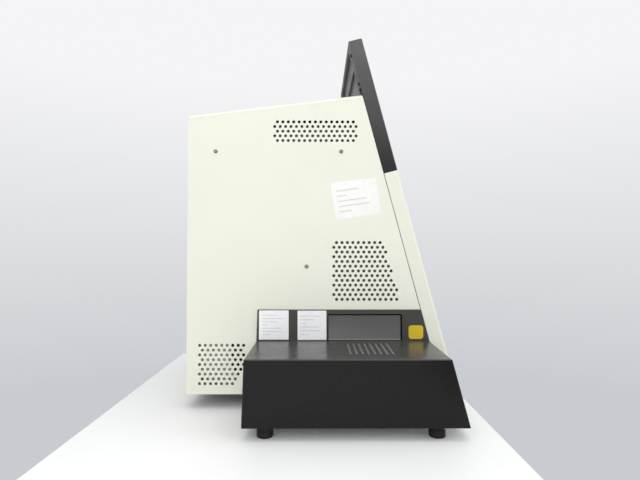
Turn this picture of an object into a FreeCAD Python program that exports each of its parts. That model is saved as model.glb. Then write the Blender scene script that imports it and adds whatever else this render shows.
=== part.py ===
import FreeCAD, Part
import math
import os

V = FreeCAD.Vector

# Cabinet, in millimetres; the front faces -Y, the plate loader stands on -X
BODY_W = 297.0
BODY_DEPTH = 474.7
BODY_BOTTOM = 26.3
REAR_HEIGHT = 517.8
FRONT_SLOPE = 14.9
TOP_SLOPE = 6.94
SHEET = 2.0
TOP_BEND_R = 8.0
TOP_FLANGE = 10.0
FIT = 0.3

# Front mouldings, measured along the sloped seam from the cabinet's lower front edge
FRONT_T = 26.4
FRONT_WALL = 3.0
BEZEL_DROP = 154.3
BEZEL_LENGTH = 257.2
FRONT_EDGE_R = 5.0

# Chip door in the bezel
DOOR_LIFT = 29.9
DOOR_LENGTH = 110.5
DOOR_BARREL_R = 8.0
DOOR_SIDE = 13.0
DOOR_GAP = 0.8
DOOR_RIM_T = 3.0
DOOR_RIM_DEPTH = 9.0
DOOR_PIN_R = 2.5
JAMB_T = 4.0
RUN_GAP = 0.05

# Back cover of the raised bezel
BACK_RIM_SIDE = 30.0
BACK_RIM_TOP = 8.0
BACK_COVER_GAP = 8.0
BACK_COVER_T = 8.0
BACK_RECESS_DEPTH = 5.0
BACK_RECESSES = ((0.5, 22.0), (34.0, 21.0))

# Vent fields of round holes, each row a pitch apart and staggered
VENT_R = 2.85
VENT_PITCH = 10.13
VENT_ROW = 8.77
VENT_SIDES = 4
TOP_VENT_INSET, TOP_VENT_DROP = 166.8, 12.8
TOP_VENT_ROWS, TOP_VENT_SETBACK = 5, 153.7
FRONT_VENT_INSET, FRONT_VENT_LIFT = 277.0, 279.2
FRONT_VENT_ROWS, FRONT_VENT_MARGIN = 13, 34.8
REAR_VENT_INSET, REAR_VENT_LIFT = 24.4, 89.5
REAR_VENT_ROWS, REAR_VENT_COUNT = 9, 9
REAR_VENT_FULL_ROWS = 5

# Screws in the sheet covers, insets from the rear edge and drops from the rear top
SCREW_HEAD_R = 3.75
SCREW_HEAD_T = 2.2
SIDE_SCREWS = ((51.9, 68.5), (285.8, 68.5), (221.4, 282.7))
REAR_SCREW_LIFTS = (29.2, 184.7, 343.1)
REAR_SCREW_INSET = 9.0
BEZEL_SCREW_SIDE, BEZEL_SCREW_DROP, BEZEL_SCREW_INSET = 9.0, 24.0, 6.0

# Inner frame
STANDOFF = 10.0
STANDOFF_R = 5.0
BULKHEAD_DROP = 17.1
BULKHEAD_LIFT = 21.7
BULKHEAD_REAR_GAP = 26.5
BULKHEAD_FOOT_W = 40.0
BULKHEAD_FEET = (40.0, 229.5)
BULKHEAD_WINDOW_Y = (143.0, 81.0)
BULKHEAD_WINDOW_Z = (10.0, 75.0)
WINDOW_CORNER = 6.0
DECK_DROP = 104.1
DECK_T = 3.0
DECK_LIP = 18.0
DECK_FRONT_GAP = 11.6
DECK_REAR_GAP = 46.0
CABLE_W, CABLE_D, CABLE_INSET = 60.0, 40.0, 40.0
BASE_FLANGE = 22.0

# Plate loader housing on the left side
SIDE_OUT = 147.4
SHELF_Z = 124.9
UNIT_BOTTOM = 21.0
UNIT_REAR_GAP = 131.2
UNIT_REAR_LEAN = 0.032
UNIT_SETBACK = 1.0
UNIT_WALL = 3.0
UNIT_EDGE_R = 1.6
RISER_H = 56.9
RISER_T = 3.0
COLLAR_T = 1.8
COLLAR_DEPTH = 11.0
OPEN_SETBACK = 77.2
OPEN_W, OPEN_H = 137.1, 48.6
OPEN_CORNER_R = 1.5
SLOT_COUNT = 8
SLOT_PITCH = 9.9
SLOT_W = 4.6
SLOT_NEAR = 18.8
SLOT_FAR = 112.9
SCREEN_T = 1.2
SCREEN_MARGIN = 7.0
UNIT_FOOT_R = 13.0
UNIT_FOOT_REAR, UNIT_FOOT_FRONT = 30.3, 45.3
UNIT_FOOT_INSET = 25.0

# Plate flap
FLAP_T, FLAP_EDGE = 2.6, 0.6
FLAP_RECESS = 2.2
FLAP_GAP_SIDE = 2.6
FLAP_GAP_BOTTOM = 0.7
FLAP_GAP_TOP = 3.3
FLAP_HINGE_DROP = 4.6
FLAP_PIN_R = 1.0

# Plate drive
NEST_LIFT = 1.5
NEST_W = 133.0
NEST_L = 96.0
NEST_BASE_T = 2.5
NEST_WALL_H = 8.0
NEST_POST_H = 12.0
POCKET_W = 128.4
POCKET_L = 86.2
TONGUE_W = 60.0
CARRIAGE_L = 50.0
CARRIAGE_W = 64.0
CARRIAGE_T = 13.4
CARRIAGE_SCREW_R, CARRIAGE_SCREW_H = 3.0, 1.6
CARRIAGE_GAP = 31.0
CARRIAGE_END_GAP = 2.5
CARRIAGE_OVERLAP = 2.7
RAIL_W = 9.0
RAIL_H = 9.0
RAIL_SPACING = 48.0
RAIL_WINDOWS = 3
RAIL_WINDOW_W, RAIL_WINDOW_H, RAIL_WINDOW_LIFT = 36.0, 34.0, 13.0
RAIL_CARRIER_W = 62.0
RAIL_END_GAP = 6.0
PULLEY_R = 11.7
PULLEY_W = 9.0
PULLEY_INSET = 24.0
PULLEY_FLANGE_T = 1.2
PULLEY_FLANGE_H = 1.4
BELT_T = 1.4
BELT_W = 6.0
SHAFT_R = 2.5
MOTOR_SIZE = 42.3
MOTOR_L = 38.0

# Chip station in the bay behind the door
BAY_W = 210.0
BAY_H = 118.0
BAY_REAR_GAP = 65.0
STAGE_SETBACK = 96.6
BLOCK_W, BLOCK_D, BLOCK_H = 116.0, 92.0, 12.0
TRAY_W, TRAY_D, TRAY_H = 96.0, 78.0, 5.0
CHIP_SEAT = 70.6
CHIP_SEAT_DEPTH = 2.5
OBJECTIVE_R, OBJECTIVE_GAP = 12.0, 2.0
LENS_R, LENS_T, LENS_SEAT = 7.0, 2.6, 3.0
LID_W, LID_H = 92.0, 14.0
LID_LIFT = 10.0
LID_LENGTH = 76.0
LID_WALL = 3.0
LID_PIN_R = 2.0
LID_HINGE_GAP, LID_SIDE_GAP = 6.0, 1.0
CHEEK_T, CHEEK_FRONT, CHEEK_REAR, CHEEK_RISE = 5.0, 7.0, 6.0, 5.0
BRACKET_D, BRACKET_H = 12.0, 6.0
ELECTRODE_R = 0.8
ELECTRODE_L = 8.0
OPTICS_W, OPTICS_D, OPTICS_H = 96.0, 130.0, 58.0

# Electrical parts
FAN_SIZE = 92.0
FAN_DEPTH = 25.0
FAN_BORE_R = 43.5
FAN_HUB_R = 17.0
FAN_BLADES = 7
FAN_SIDE, FAN_DROP = 62.6, 144.1
FAN_CORNER = 5.0
GUARD_OUT = 6.0
GUARD_WIRE = 2.0
GUARD_RINGS = (14.0, 29.0, 44.0)
GUARD_FOOT_R = 4.0
INLET_SIDE, INLET_LIFT = 56.1, 63.7
INLET_W, INLET_H = 48.0, 58.0
INLET_DEPTH = 34.0
INLET_RIM = 4.0
BLADE_W, BLADE_H, BLADE_L = 2.0, 4.0, 29.0
PORTS = ((62.0, 16.0, 13.5), (92.0, 12.0, 10.6))
PORT_DEPTH, PORT_OUT, PORT_WALL = 16.0, 0.8, 1.2
PORT_BOARD_D, PORT_BOARD_MARGIN, PORT_BOARD_DROP = 60.0, 14.0, 9.0
ROCKER_TILT = 8.0
ROCKER_AXLE_R, ROCKER_AXLE_L, ROCKER_AXLE_INSET = 1.45, 24.6, 2.0
ROCKER_LIFT = 13.5
PSU_W, PSU_H, PSU_SETBACK, PSU_MOTOR_GAP = 62.0, 104.0, 12.0, 44.0
PSU_SLOT_W, PSU_SLOT_PITCH, PSU_SLOT_MARGIN, PSU_SLOT_DEPTH = 6.0, 14.0, 20.0, 2.0
BOARD_D, BOARD_H, BOARD_T = 190.0, 150.0, 1.6
BOARD_INSET = 8.0
POST_R = 3.0
BOARD_PARTS = ((4.0, 40.0, 75.0, 55.0, 90.0), (12.0, 160.0, 178.0, 20.0, 120.0),
               (9.0, 14.0, 26.0, 25.0, 110.0), (3.0, 95.0, 120.0, 30.0, 48.0))
CAN_COUNT, CAN_R, CAN_H, CAN_PITCH = 4, 6.0, 18.0, 16.0
CAN_START, CAN_DROP = 90.0, 22.0
BODY_FOOT_R = 15.0
BUTTON_R = 7.0
BUTTON_RIM, BUTTON_RIM_T = 1.2, 1.5
BUTTON_FLOOR = 4.0
STEM_R, STEM_L = 2.0, 8.0
BUTTON_CASE_R = 10.0
BUTTON_OUT = 1.6
LIGHT_W = 36.0

# Sides of the bars that stand for small round pieces
SQUARE_SIDES = 4
HEX_SIDES = 6
SMALL_SIDES = 8
ROUND_SIDES = 12
RING_SIDES = 20

# Sizes worked out from the driving ones
COS_FRONT = math.cos(math.radians(FRONT_SLOPE))
TAN_FRONT = math.tan(math.radians(FRONT_SLOPE))
TAN_TOP = math.tan(math.radians(TOP_SLOPE))
COS_TOP = math.cos(math.radians(TOP_SLOPE))
TOTAL_DEPTH = GUARD_OUT + BODY_DEPTH + FRONT_T / COS_FRONT
X_OUT = -(BODY_W + SIDE_OUT + SCREW_HEAD_T) / 2
X_LEFT = X_OUT + SIDE_OUT
X_RIGHT = X_LEFT + BODY_W
X_MID = (X_LEFT + X_RIGHT) / 2
REAR_Y = TOTAL_DEPTH / 2 - GUARD_OUT
SEAM_Y = REAR_Y - BODY_DEPTH
REAR_TOP = BODY_BOTTOM + REAR_HEIGHT
TOP_MEETING = 1 + TAN_TOP * TAN_FRONT
TOP_CORNER_Z = (REAR_TOP + (BODY_DEPTH + BODY_BOTTOM * TAN_FRONT) * TAN_TOP) / TOP_MEETING
BEZEL_START = (TOP_CORNER_Z - BODY_BOTTOM) / COS_FRONT - BEZEL_DROP
BEZEL_END = BEZEL_START + BEZEL_LENGTH
DOOR_START = BEZEL_START + DOOR_LIFT
DOOR_HINGE_U = DOOR_START + DOOR_LENGTH
BACK_COVER_START = DOOR_HINGE_U + DOOR_BARREL_R + DOOR_GAP + JAMB_T + BACK_COVER_GAP
BACK_COVER_END = BEZEL_END - BACK_RIM_TOP
X_INNER_LEFT = X_LEFT + SHEET
X_INNER_RIGHT = X_RIGHT - SHEET
X_FRAME_LEFT = X_INNER_LEFT + STANDOFF
X_FRAME_RIGHT = X_INNER_RIGHT - STANDOFF
REAR_INSIDE = REAR_Y - SHEET
PAN_TOP = BODY_BOTTOM + SHEET
BULKHEAD_TOP = REAR_TOP - BULKHEAD_DROP
BULKHEAD_BOTTOM = PAN_TOP + BULKHEAD_LIFT
DECK_Z = REAR_TOP - DECK_DROP
DECK_SEAM_Y = SEAM_Y + (DECK_Z - BODY_BOTTOM) * TAN_FRONT
DECK_FRONT = DECK_SEAM_Y + DECK_FRONT_GAP
DECK_REAR = REAR_INSIDE - DECK_REAR_GAP
STAGE_Y = DECK_SEAM_Y + STAGE_SETBACK
BAY_REAR = STAGE_Y + BAY_REAR_GAP
OPEN_Y0 = SEAM_Y + OPEN_SETBACK
OPEN_Y1 = OPEN_Y0 + OPEN_W
OPEN_TOP = SHELF_Z + OPEN_H
OPEN_MID_Y = (OPEN_Y0 + OPEN_Y1) / 2
RISER_TOP = SHELF_Z + RISER_H
UNIT_REAR_TOP = OPEN_Y1 + UNIT_REAR_GAP
UNIT_FEET_Y = (UNIT_REAR_TOP - UNIT_FOOT_REAR, SEAM_Y + UNIT_FOOT_FRONT)
FAN_X, FAN_Z = X_MID - FAN_SIDE, REAR_TOP - FAN_DROP
INLET_X, INLET_Z = X_RIGHT - INLET_SIDE, BODY_BOTTOM + INLET_LIFT
FLAP_PIVOT_X = X_LEFT - RISER_T + FLAP_RECESS + FLAP_T / 2
FLAP_PIVOT_Z = OPEN_TOP - FLAP_HINGE_DROP
NEST_Z = SHELF_Z + NEST_LIFT
CARRIAGE_Z = NEST_Z - CARRIAGE_T
RAIL_Z = CARRIAGE_Z - CARRIAGE_OVERLAP
PULLEY_Z = CARRIAGE_Z - FIT - MOTOR_SIZE / 2
BELT_TOP_Z = PULLEY_Z + (PULLEY_R + FIT + BELT_T) * math.cos(math.pi / RING_SIDES)
CARRIER_X0 = X_FRAME_LEFT + RAIL_END_GAP
CARRIER_X1 = X_FRAME_RIGHT - SHEET - RAIL_END_GAP
PULLEY_X = (CARRIER_X0 + PULLEY_INSET, CARRIER_X1 - PULLEY_INSET)
CARRIAGE_X = CARRIER_X1 - CARRIAGE_END_GAP - CARRIAGE_L
NEST_X = CARRIAGE_X - CARRIAGE_GAP - NEST_L
BAY_X0 = X_MID - BAY_W / 2
BAY_X1 = X_MID + BAY_W / 2
BAY_FLOOR = DECK_Z + SHEET
BLOCK_TOP = BAY_FLOOR + BLOCK_H
OBJECTIVE_TOP = BLOCK_TOP - OBJECTIVE_GAP
TRAY_TOP = BLOCK_TOP + TRAY_H
LID_Z = TRAY_TOP + LID_LIFT
LID_HINGE_Y = STAGE_Y + TRAY_D / 2 + LID_HINGE_GAP
LID_HINGE_Z = LID_Z + LID_H / 2
X_DIR = V(1, 0, 0)
Y_DIR = V(0, 1, 0)
Z_DIR = V(0, 0, 1)
OUT_OF_FRONT = V(0, -1, 0)


# Helpers for shapes
def box(x0, x1, y0, y1, z0, z1):
    return Part.makeBox(x1 - x0, y1 - y0, z1 - z0, V(x0, y0, z0))


def front_box(x0, x1, w0, w1, u0, u1):
    return box(x0, x1, -w1, -w0, u0, u1)


def rod(radius, length, start, direction):
    return Part.makeCylinder(radius, length, start, direction)


def polygon(sides, radius, centre, direction):
    first = X_DIR if abs(direction.z) > 0.5 else Z_DIR
    second = direction.cross(first)
    corners = []
    for index in range(sides):
        angle = 2 * math.pi * (index + 0.5) / sides
        corners.append(centre + first * (radius * math.cos(angle)) + second * (radius * math.sin(angle)))
    return Part.makePolygon(corners + corners[:1])


def bar(radius, length, start, direction, sides=HEX_SIDES):
    return Part.Face(polygon(sides, radius, start, direction)).extrude(direction * length)


def around(radius, sides):
    return (radius + RUN_GAP) / math.cos(math.pi / sides)


def joined(shapes):
    return shapes[0].fuse(shapes[1:]).removeSplitter()


def without(shape, tools):
    return shape.cut(tools).removeSplitter()


def prism_x(points, x0, x1):
    corners = [V(x0, y, z) for y, z in points]
    return Part.Face(Part.makePolygon(corners + corners[:1])).extrude(V(x1 - x0, 0, 0))


def on_front(shape):
    placed = shape.copy()
    placed.rotate(V(0, 0, 0), X_DIR, -FRONT_SLOPE)
    placed.translate(V(0, SEAM_Y, BODY_BOTTOM))
    return placed


def mirrored(shape):
    return shape.mirror(V(X_MID, 0, 0), X_DIR)


def edges_along(shape, direction, keep):
    found = []
    for edge in shape.Edges:
        if len(edge.Vertexes) == 2:
            run = edge.Vertexes[1].Point - edge.Vertexes[0].Point
            straight = run.Length > 0 and abs(run.normalize().dot(direction)) > 0.999
            if straight and keep(edge.CenterOfMass):
                found.append(edge)
    return found


def rounded(shape, radius, direction, keep):
    return shape.makeFillet(radius, edges_along(shape, direction, keep))


def eased(shape, size, direction, keep):
    return shape.makeChamfer(size, edges_along(shape, direction, keep))


def seam_at(z):
    return SEAM_Y + (z - BODY_BOTTOM) * TAN_FRONT


def top_at(y):
    return REAR_TOP + (REAR_Y - y) * TAN_TOP


def top_corner(drop):
    z = TOP_CORNER_Z - drop / COS_TOP / TOP_MEETING
    return seam_at(z), z


# Vent fields
def vent_row(y, z, count):
    return [(y - index * VENT_PITCH, z) for index in range(count)]


def top_vent():
    holes = []
    for row in range(TOP_VENT_ROWS):
        y = REAR_Y - TOP_VENT_INSET - (1 - row % 2) * VENT_PITCH / 2
        count = int((y - SEAM_Y - TOP_VENT_SETBACK) / VENT_PITCH) + 1
        holes += vent_row(y, REAR_TOP - TOP_VENT_DROP - row * VENT_ROW, count)
    return holes


def front_vent():
    holes = []
    for row in range(FRONT_VENT_ROWS):
        z = BODY_BOTTOM + FRONT_VENT_LIFT - row * VENT_ROW
        y = REAR_Y - FRONT_VENT_INSET + (row % 2) * VENT_PITCH / 2
        limit = seam_at(z) + FRONT_VENT_MARGIN
        holes += vent_row(y, z, int((y - limit) / VENT_PITCH) + 1)
    return holes


def rear_vent():
    holes = []
    for row in range(REAR_VENT_ROWS):
        shift = row % 2
        y = REAR_Y - REAR_VENT_INSET - shift * VENT_PITCH / 2
        cut = max(0, row + 1 - REAR_VENT_FULL_ROWS)
        count = REAR_VENT_COUNT - (cut + shift + 1) // 2 if cut else REAR_VENT_COUNT - shift
        holes += vent_row(y, BODY_BOTTOM + REAR_VENT_LIFT - row * VENT_ROW, count)
    return holes


# Sheet covers of the cabinet
def side_outline(x, drop):
    corner_y, corner_z = top_corner(drop)
    points = [(REAR_Y, BODY_BOTTOM), (REAR_Y, REAR_TOP - drop / COS_TOP), (corner_y, corner_z),
              (SEAM_Y, BODY_BOTTOM)]
    corners = [V(x, y, z) for y, z in points]
    return Part.makePolygon(corners + corners[:1])


def side_bend():
    length = BODY_DEPTH + TOP_BEND_R
    outer, inner = TOP_BEND_R, TOP_BEND_R - SHEET
    centre = V(outer, 0, -outer)
    end = outer + TOP_FLANGE
    diagonal = math.sqrt(0.5)
    outer_arc = Part.Arc(V(0, 0, -outer), centre + V(-outer * diagonal, 0, outer * diagonal),
                         V(outer, 0, 0))
    inner_arc = Part.Arc(V(outer, 0, -SHEET), centre + V(-inner * diagonal, 0, inner * diagonal),
                         V(SHEET, 0, -outer))
    wire = Part.Wire([outer_arc.toShape(),
                      Part.makeLine(V(outer, 0, 0), V(end, 0, 0)),
                      Part.makeLine(V(end, 0, 0), V(end, 0, -SHEET)),
                      Part.makeLine(V(end, 0, -SHEET), V(outer, 0, -SHEET)),
                      inner_arc.toShape(),
                      Part.makeLine(V(SHEET, 0, -outer), V(0, 0, -outer))])
    bend = Part.Face(wire).extrude(V(0, -length, 0))
    bend.translate(V(0, TOP_BEND_R, 0))
    bend.rotate(V(0, 0, 0), X_DIR, -TOP_SLOPE)
    bend.translate(V(X_LEFT, REAR_Y, REAR_TOP))
    reach = TOP_BEND_R + TOP_FLANGE
    keep = prism_x([(REAR_Y, BODY_BOTTOM), (REAR_Y, REAR_TOP + BODY_W),
                    (seam_at(REAR_TOP + BODY_W), REAR_TOP + BODY_W), (SEAM_Y, BODY_BOTTOM)],
                   X_LEFT - reach, X_LEFT + 2 * reach)
    return bend.common(keep)


def side_panel(holes):
    outline = side_outline(X_LEFT, TOP_BEND_R)
    face = Part.makeFace(Part.Compound([outline] + holes), "Part::FaceMakerBullseye")
    return joined([face.extrude(V(SHEET, 0, 0)), side_bend()])


def left_side_panel():
    places = top_vent() + front_vent() + rear_vent()
    panel = side_panel([polygon(VENT_SIDES, VENT_R, V(X_LEFT, y, z), X_DIR) for y, z in places])
    margin = COLLAR_T + FIT
    window = box(X_LEFT, X_INNER_LEFT, OPEN_Y0 - margin, OPEN_Y1 + margin,
                 SHELF_Z - margin, OPEN_TOP + margin)
    return panel.cut(window)


def right_side_panel():
    return mirrored(side_panel([]))


def top_cover():
    side = TOP_BEND_R + TOP_FLANGE + FIT
    length = BODY_DEPTH + TOP_BEND_R
    sheet = box(X_LEFT + side, X_RIGHT - side, -length, TOP_BEND_R, -SHEET, 0)
    laps = [box(X_LEFT + TOP_BEND_R, X_LEFT + side + TOP_FLANGE, -length, TOP_BEND_R,
                -2 * SHEET, -SHEET)]
    laps.append(mirrored(laps[0]))
    cover = joined([sheet] + laps)
    cover.rotate(V(0, 0, 0), X_DIR, -TOP_SLOPE)
    cover.translate(V(0, REAR_Y, REAR_TOP))
    keep = prism_x([(REAR_Y, BODY_BOTTOM), (REAR_Y, REAR_TOP + BODY_W),
                    (seam_at(REAR_TOP + BODY_W), REAR_TOP + BODY_W), (SEAM_Y, BODY_BOTTOM)],
                   X_LEFT, X_RIGHT)
    return cover.common(keep)


def rear_panel():
    top = top_at(REAR_Y) - 2 * SHEET / COS_TOP - FIT
    plate = box(X_INNER_LEFT, X_INNER_RIGHT, REAR_INSIDE, REAR_Y, BODY_BOTTOM, top)
    plate = rounded(plate, TOP_BEND_R, Y_DIR, lambda p: p.z > top - 1)
    flange_front = REAR_INSIDE - BULKHEAD_REAR_GAP - STANDOFF
    flange = box(X_FRAME_LEFT + SHEET, X_FRAME_LEFT + 2 * SHEET, flange_front, REAR_INSIDE,
                 BULKHEAD_BOTTOM, DECK_Z - DECK_T - FIT)
    panel = joined([plate, flange, mirrored(flange)])
    cuts = [bar(FAN_BORE_R, SHEET, V(FAN_X, REAR_INSIDE, FAN_Z), Y_DIR, RING_SIDES)]
    half_w, half_h = INLET_W / 2 - INLET_RIM, INLET_H / 2 - INLET_RIM
    cuts.append(box(INLET_X - half_w, INLET_X + half_w, REAR_INSIDE, REAR_Y,
                    INLET_Z - half_h, INLET_Z + half_h))
    for x, width, height in port_places():
        cuts.append(box(x - width / 2 - FIT, x + width / 2 + FIT, REAR_INSIDE, REAR_Y,
                        INLET_Z - height / 2 - FIT, INLET_Z + height / 2 + FIT))
    return panel.cut(cuts)


def base_pan():
    rear = REAR_INSIDE
    front = seam_at(PAN_TOP) + (SHEET + FIT) / COS_FRONT
    pan = box(X_INNER_LEFT, X_INNER_RIGHT, front, rear, BODY_BOTTOM, PAN_TOP)
    flange = box(X_INNER_LEFT, X_INNER_LEFT + SHEET, SEAM_Y + BASE_FLANGE, rear,
                 PAN_TOP, BODY_BOTTOM + BASE_FLANGE)
    return joined([pan, flange, mirrored(flange)])


# Inner frame
def front_frame():
    top = (top_corner(TOP_BEND_R + FIT)[1] - BODY_BOTTOM) / COS_FRONT
    frame = front_box(X_INNER_LEFT, X_INNER_RIGHT, -SHEET, 0, PAN_TOP - BODY_BOTTOM, top)
    low = (BAY_FLOOR - BODY_BOTTOM) / COS_FRONT
    high = (BAY_FLOOR + BAY_H - BODY_BOTTOM) / COS_FRONT
    window = front_box(BAY_X0, BAY_X1, -SHEET, 0, low + SHEET, high)
    return on_front(frame.cut(window))


def bulkhead_sheet(x0, x1):
    rear = REAR_INSIDE - BULKHEAD_REAR_GAP
    gap = (SHEET + FIT) / COS_FRONT
    sheet = prism_x([(rear, BULKHEAD_BOTTOM), (rear, BULKHEAD_TOP),
                     (seam_at(BULKHEAD_TOP) + gap, BULKHEAD_TOP),
                     (seam_at(BULKHEAD_BOTTOM) + gap, BULKHEAD_BOTTOM)], x0, x1)
    feet = []
    for inset in BULKHEAD_FEET:
        middle = rear - inset
        feet.append(box(x0, x1, middle - BULKHEAD_FOOT_W / 2, middle + BULKHEAD_FOOT_W / 2,
                        PAN_TOP, BULKHEAD_BOTTOM))
    y0, y1 = [REAR_Y - inset for inset in BULKHEAD_WINDOW_Y]
    z0, z1 = [BULKHEAD_BOTTOM + lift for lift in BULKHEAD_WINDOW_Z]
    window = eased(box(x0, x1, y0, y1, z0, z1), WINDOW_CORNER, X_DIR, lambda p: True)
    return without(joined([sheet] + feet), [window])


def side_screw_places():
    return [(REAR_Y - inset, REAR_TOP - drop) for inset, drop in SIDE_SCREWS]


def standoffs(x):
    return [bar(STANDOFF_R, STANDOFF, V(x, y, z), X_DIR) for y, z in side_screw_places()]


def left_bulkhead():
    sheet = bulkhead_sheet(X_FRAME_LEFT, X_FRAME_LEFT + SHEET)
    window = box(X_FRAME_LEFT, X_FRAME_LEFT + SHEET, OPEN_Y0 - STANDOFF, OPEN_Y1 + STANDOFF,
                 RAIL_Z - 2 * STANDOFF, OPEN_TOP + STANDOFF)
    return joined([without(sheet, [window])] + standoffs(X_INNER_LEFT))


def right_bulkhead():
    sheet = bulkhead_sheet(X_FRAME_LEFT, X_FRAME_LEFT + SHEET)
    return mirrored(joined([sheet] + standoffs(X_INNER_LEFT)))


def mid_deck():
    x0, x1 = X_FRAME_LEFT + SHEET, X_FRAME_RIGHT - SHEET
    plate = box(x0, x1, DECK_FRONT, DECK_REAR, DECK_Z - DECK_T, DECK_Z)
    lip = box(x0, x1, DECK_REAR - DECK_T, DECK_REAR, DECK_Z - DECK_LIP, DECK_Z)
    side = box(x0, x0 + DECK_T, DECK_FRONT, DECK_REAR, DECK_Z - DECK_LIP, DECK_Z)
    deck = joined([plate, lip, side, mirrored(side)])
    bore = bar(OBJECTIVE_R + 3, DECK_T, V(X_MID, STAGE_Y, DECK_Z - DECK_T), Z_DIR, ROUND_SIDES)
    cable_y = BAY_REAR + CABLE_INSET
    cable = box(X_MID - CABLE_W / 2, X_MID + CABLE_W / 2, cable_y, cable_y + CABLE_D,
                DECK_Z - DECK_T, DECK_Z)
    cable = eased(cable, WINDOW_CORNER, Z_DIR, lambda p: True)
    return deck.cut([bore, cable])


# Front mouldings
def front_fascia():
    outer = front_box(X_LEFT, X_RIGHT, 0, FRONT_T, -FRONT_T, BEZEL_START - FIT)
    outer = rounded(outer, FRONT_EDGE_R, Z_DIR, lambda p: p.y < -FRONT_T + 1)
    inner = front_box(X_LEFT + FRONT_WALL, X_RIGHT - FRONT_WALL, 0, FRONT_T - FRONT_WALL,
                      -FRONT_T, BEZEL_START - FIT - FRONT_WALL)
    floor = box(X_LEFT - 1, X_RIGHT + 1, SEAM_Y - 4 * FRONT_T, SEAM_Y + 4 * FRONT_T,
                BODY_BOTTOM - 4 * FRONT_T, BODY_BOTTOM)
    shell_floor = floor.copy()
    shell_floor.translate(V(0, 0, FRONT_WALL))
    fascia = on_front(outer).cut(on_front(inner).cut(shell_floor))
    ribs = []
    for share in (1, 2):
        x = X_LEFT + share * BODY_W / 3
        ribs.append(on_front(front_box(x, x + FRONT_WALL, FRONT_T / 3, FRONT_T - FRONT_WALL / 2,
                                       40, BEZEL_START - 20)))
    return joined([fascia.cut(floor)] + ribs)


def door_tunnel(margin):
    x0, x1 = X_LEFT + DOOR_SIDE - margin, X_RIGHT - DOOR_SIDE + margin
    low = DOOR_START - DOOR_GAP - margin
    high = DOOR_HINGE_U + DOOR_BARREL_R + DOOR_GAP + margin
    return front_box(x0, x1, 0, FRONT_T, low, high)


def front_bezel():
    outer = front_box(X_LEFT, X_RIGHT, 0, FRONT_T, BEZEL_START, BEZEL_END)
    outer = rounded(outer, FRONT_EDGE_R, Z_DIR, lambda p: p.y < -FRONT_T + 1)
    hollow_low = front_box(X_LEFT + FRONT_WALL, X_RIGHT - FRONT_WALL, 0, FRONT_T - FRONT_WALL,
                           BEZEL_START + FRONT_WALL, BEZEL_END - BEZEL_LENGTH / 3)
    hollow_high = front_box(X_LEFT + BACK_RIM_SIDE, X_RIGHT - BACK_RIM_SIDE, 0, FRONT_T - FRONT_WALL,
                            BACK_COVER_START, BACK_COVER_END)
    shell = outer.cut([hollow_low, hollow_high])
    shell = joined([shell, door_tunnel(JAMB_T)]).cut(door_tunnel(0))
    start = V(X_LEFT + DOOR_SIDE - JAMB_T, -(FRONT_T - DOOR_BARREL_R), DOOR_HINGE_U)
    length = BODY_W - 2 * (DOOR_SIDE - JAMB_T)
    pins = bar(around(DOOR_PIN_R, SMALL_SIDES), length, start, X_DIR, SMALL_SIDES)
    x, u = button_place()
    button = bar(BUTTON_R + FIT, FRONT_WALL, V(x, -FRONT_T, u), Y_DIR, ROUND_SIDES)
    x, u = light_place()
    lights = front_box(x - LIGHT_W / 2, x + LIGHT_W / 2, FRONT_T - FRONT_WALL, FRONT_T, u - 4, u + 4)
    return on_front(shell.cut([pins, button, lights]))


def bezel_back_cover():
    u0, u1 = BACK_COVER_START + FIT, BACK_COVER_END - FIT
    x0, x1 = X_LEFT + BACK_RIM_SIDE + FIT, X_RIGHT - BACK_RIM_SIDE - FIT
    plate = front_box(x0, x1, 1.0, BACK_COVER_T, u0, u1)
    cuts = []
    for offset, length in BACK_RECESSES:
        pocket = front_box(x0 + 1.5, x1 - 1.5, 1.0, 1.0 + BACK_RECESS_DEPTH,
                           u1 - offset - length, u1 - offset)
        cuts.append(pocket)
    plate = plate.cut(cuts)
    posts = []
    for x in (x0 + 12, x1 - 12):
        for u in (u0 + 12, u1 - 12):
            length = FRONT_T - FRONT_WALL - BACK_COVER_T
            posts.append(bar(4, length, V(x, -BACK_COVER_T, u), OUT_OF_FRONT))
    return on_front(joined([plate] + posts))


def bezel_screw_places():
    return [(x, BEZEL_END - drop) for x in (X_LEFT + BEZEL_SCREW_SIDE, X_RIGHT - BEZEL_SCREW_SIDE)
            for drop in (BEZEL_SCREW_DROP, BEZEL_LENGTH / 3 - BEZEL_SCREW_INSET)]


def bezel_screws():
    heads = [screw_head(V(x, 0, u), Y_DIR) for x, u in bezel_screw_places()]
    return Part.Compound([on_front(head) for head in heads])


# Chip door
def chip_door():
    x0, x1 = X_LEFT + DOOR_SIDE + DOOR_GAP, X_RIGHT - DOOR_SIDE - DOOR_GAP
    axis_w = FRONT_T - DOOR_BARREL_R
    skin = front_box(x0, x1, FRONT_T - FRONT_WALL, FRONT_T, DOOR_START, DOOR_HINGE_U)
    barrel = bar(DOOR_BARREL_R, x1 - x0, V(x0, -axis_w, DOOR_HINGE_U), X_DIR, ROUND_SIDES)
    rim_w0 = FRONT_T - FRONT_WALL - DOOR_RIM_DEPTH
    rims = [front_box(x0, x0 + DOOR_RIM_T, rim_w0, FRONT_T - FRONT_WALL, DOOR_START, DOOR_HINGE_U),
            front_box(x1 - DOOR_RIM_T, x1, rim_w0, FRONT_T - FRONT_WALL, DOOR_START, DOOR_HINGE_U),
            front_box(x0, x1, rim_w0, FRONT_T - FRONT_WALL, DOOR_START, DOOR_START + DOOR_RIM_T)]
    door = joined([skin, barrel] + rims)
    bore = bar(around(DOOR_PIN_R, SMALL_SIDES), x1 - x0, V(x0, -axis_w, DOOR_HINGE_U), X_DIR, SMALL_SIDES)
    grip = front_box(X_MID - 45, X_MID + 45, FRONT_T - 1.5, FRONT_T, DOOR_START, DOOR_START + 9)
    return on_front(door.cut([bore, grip]))


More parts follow.
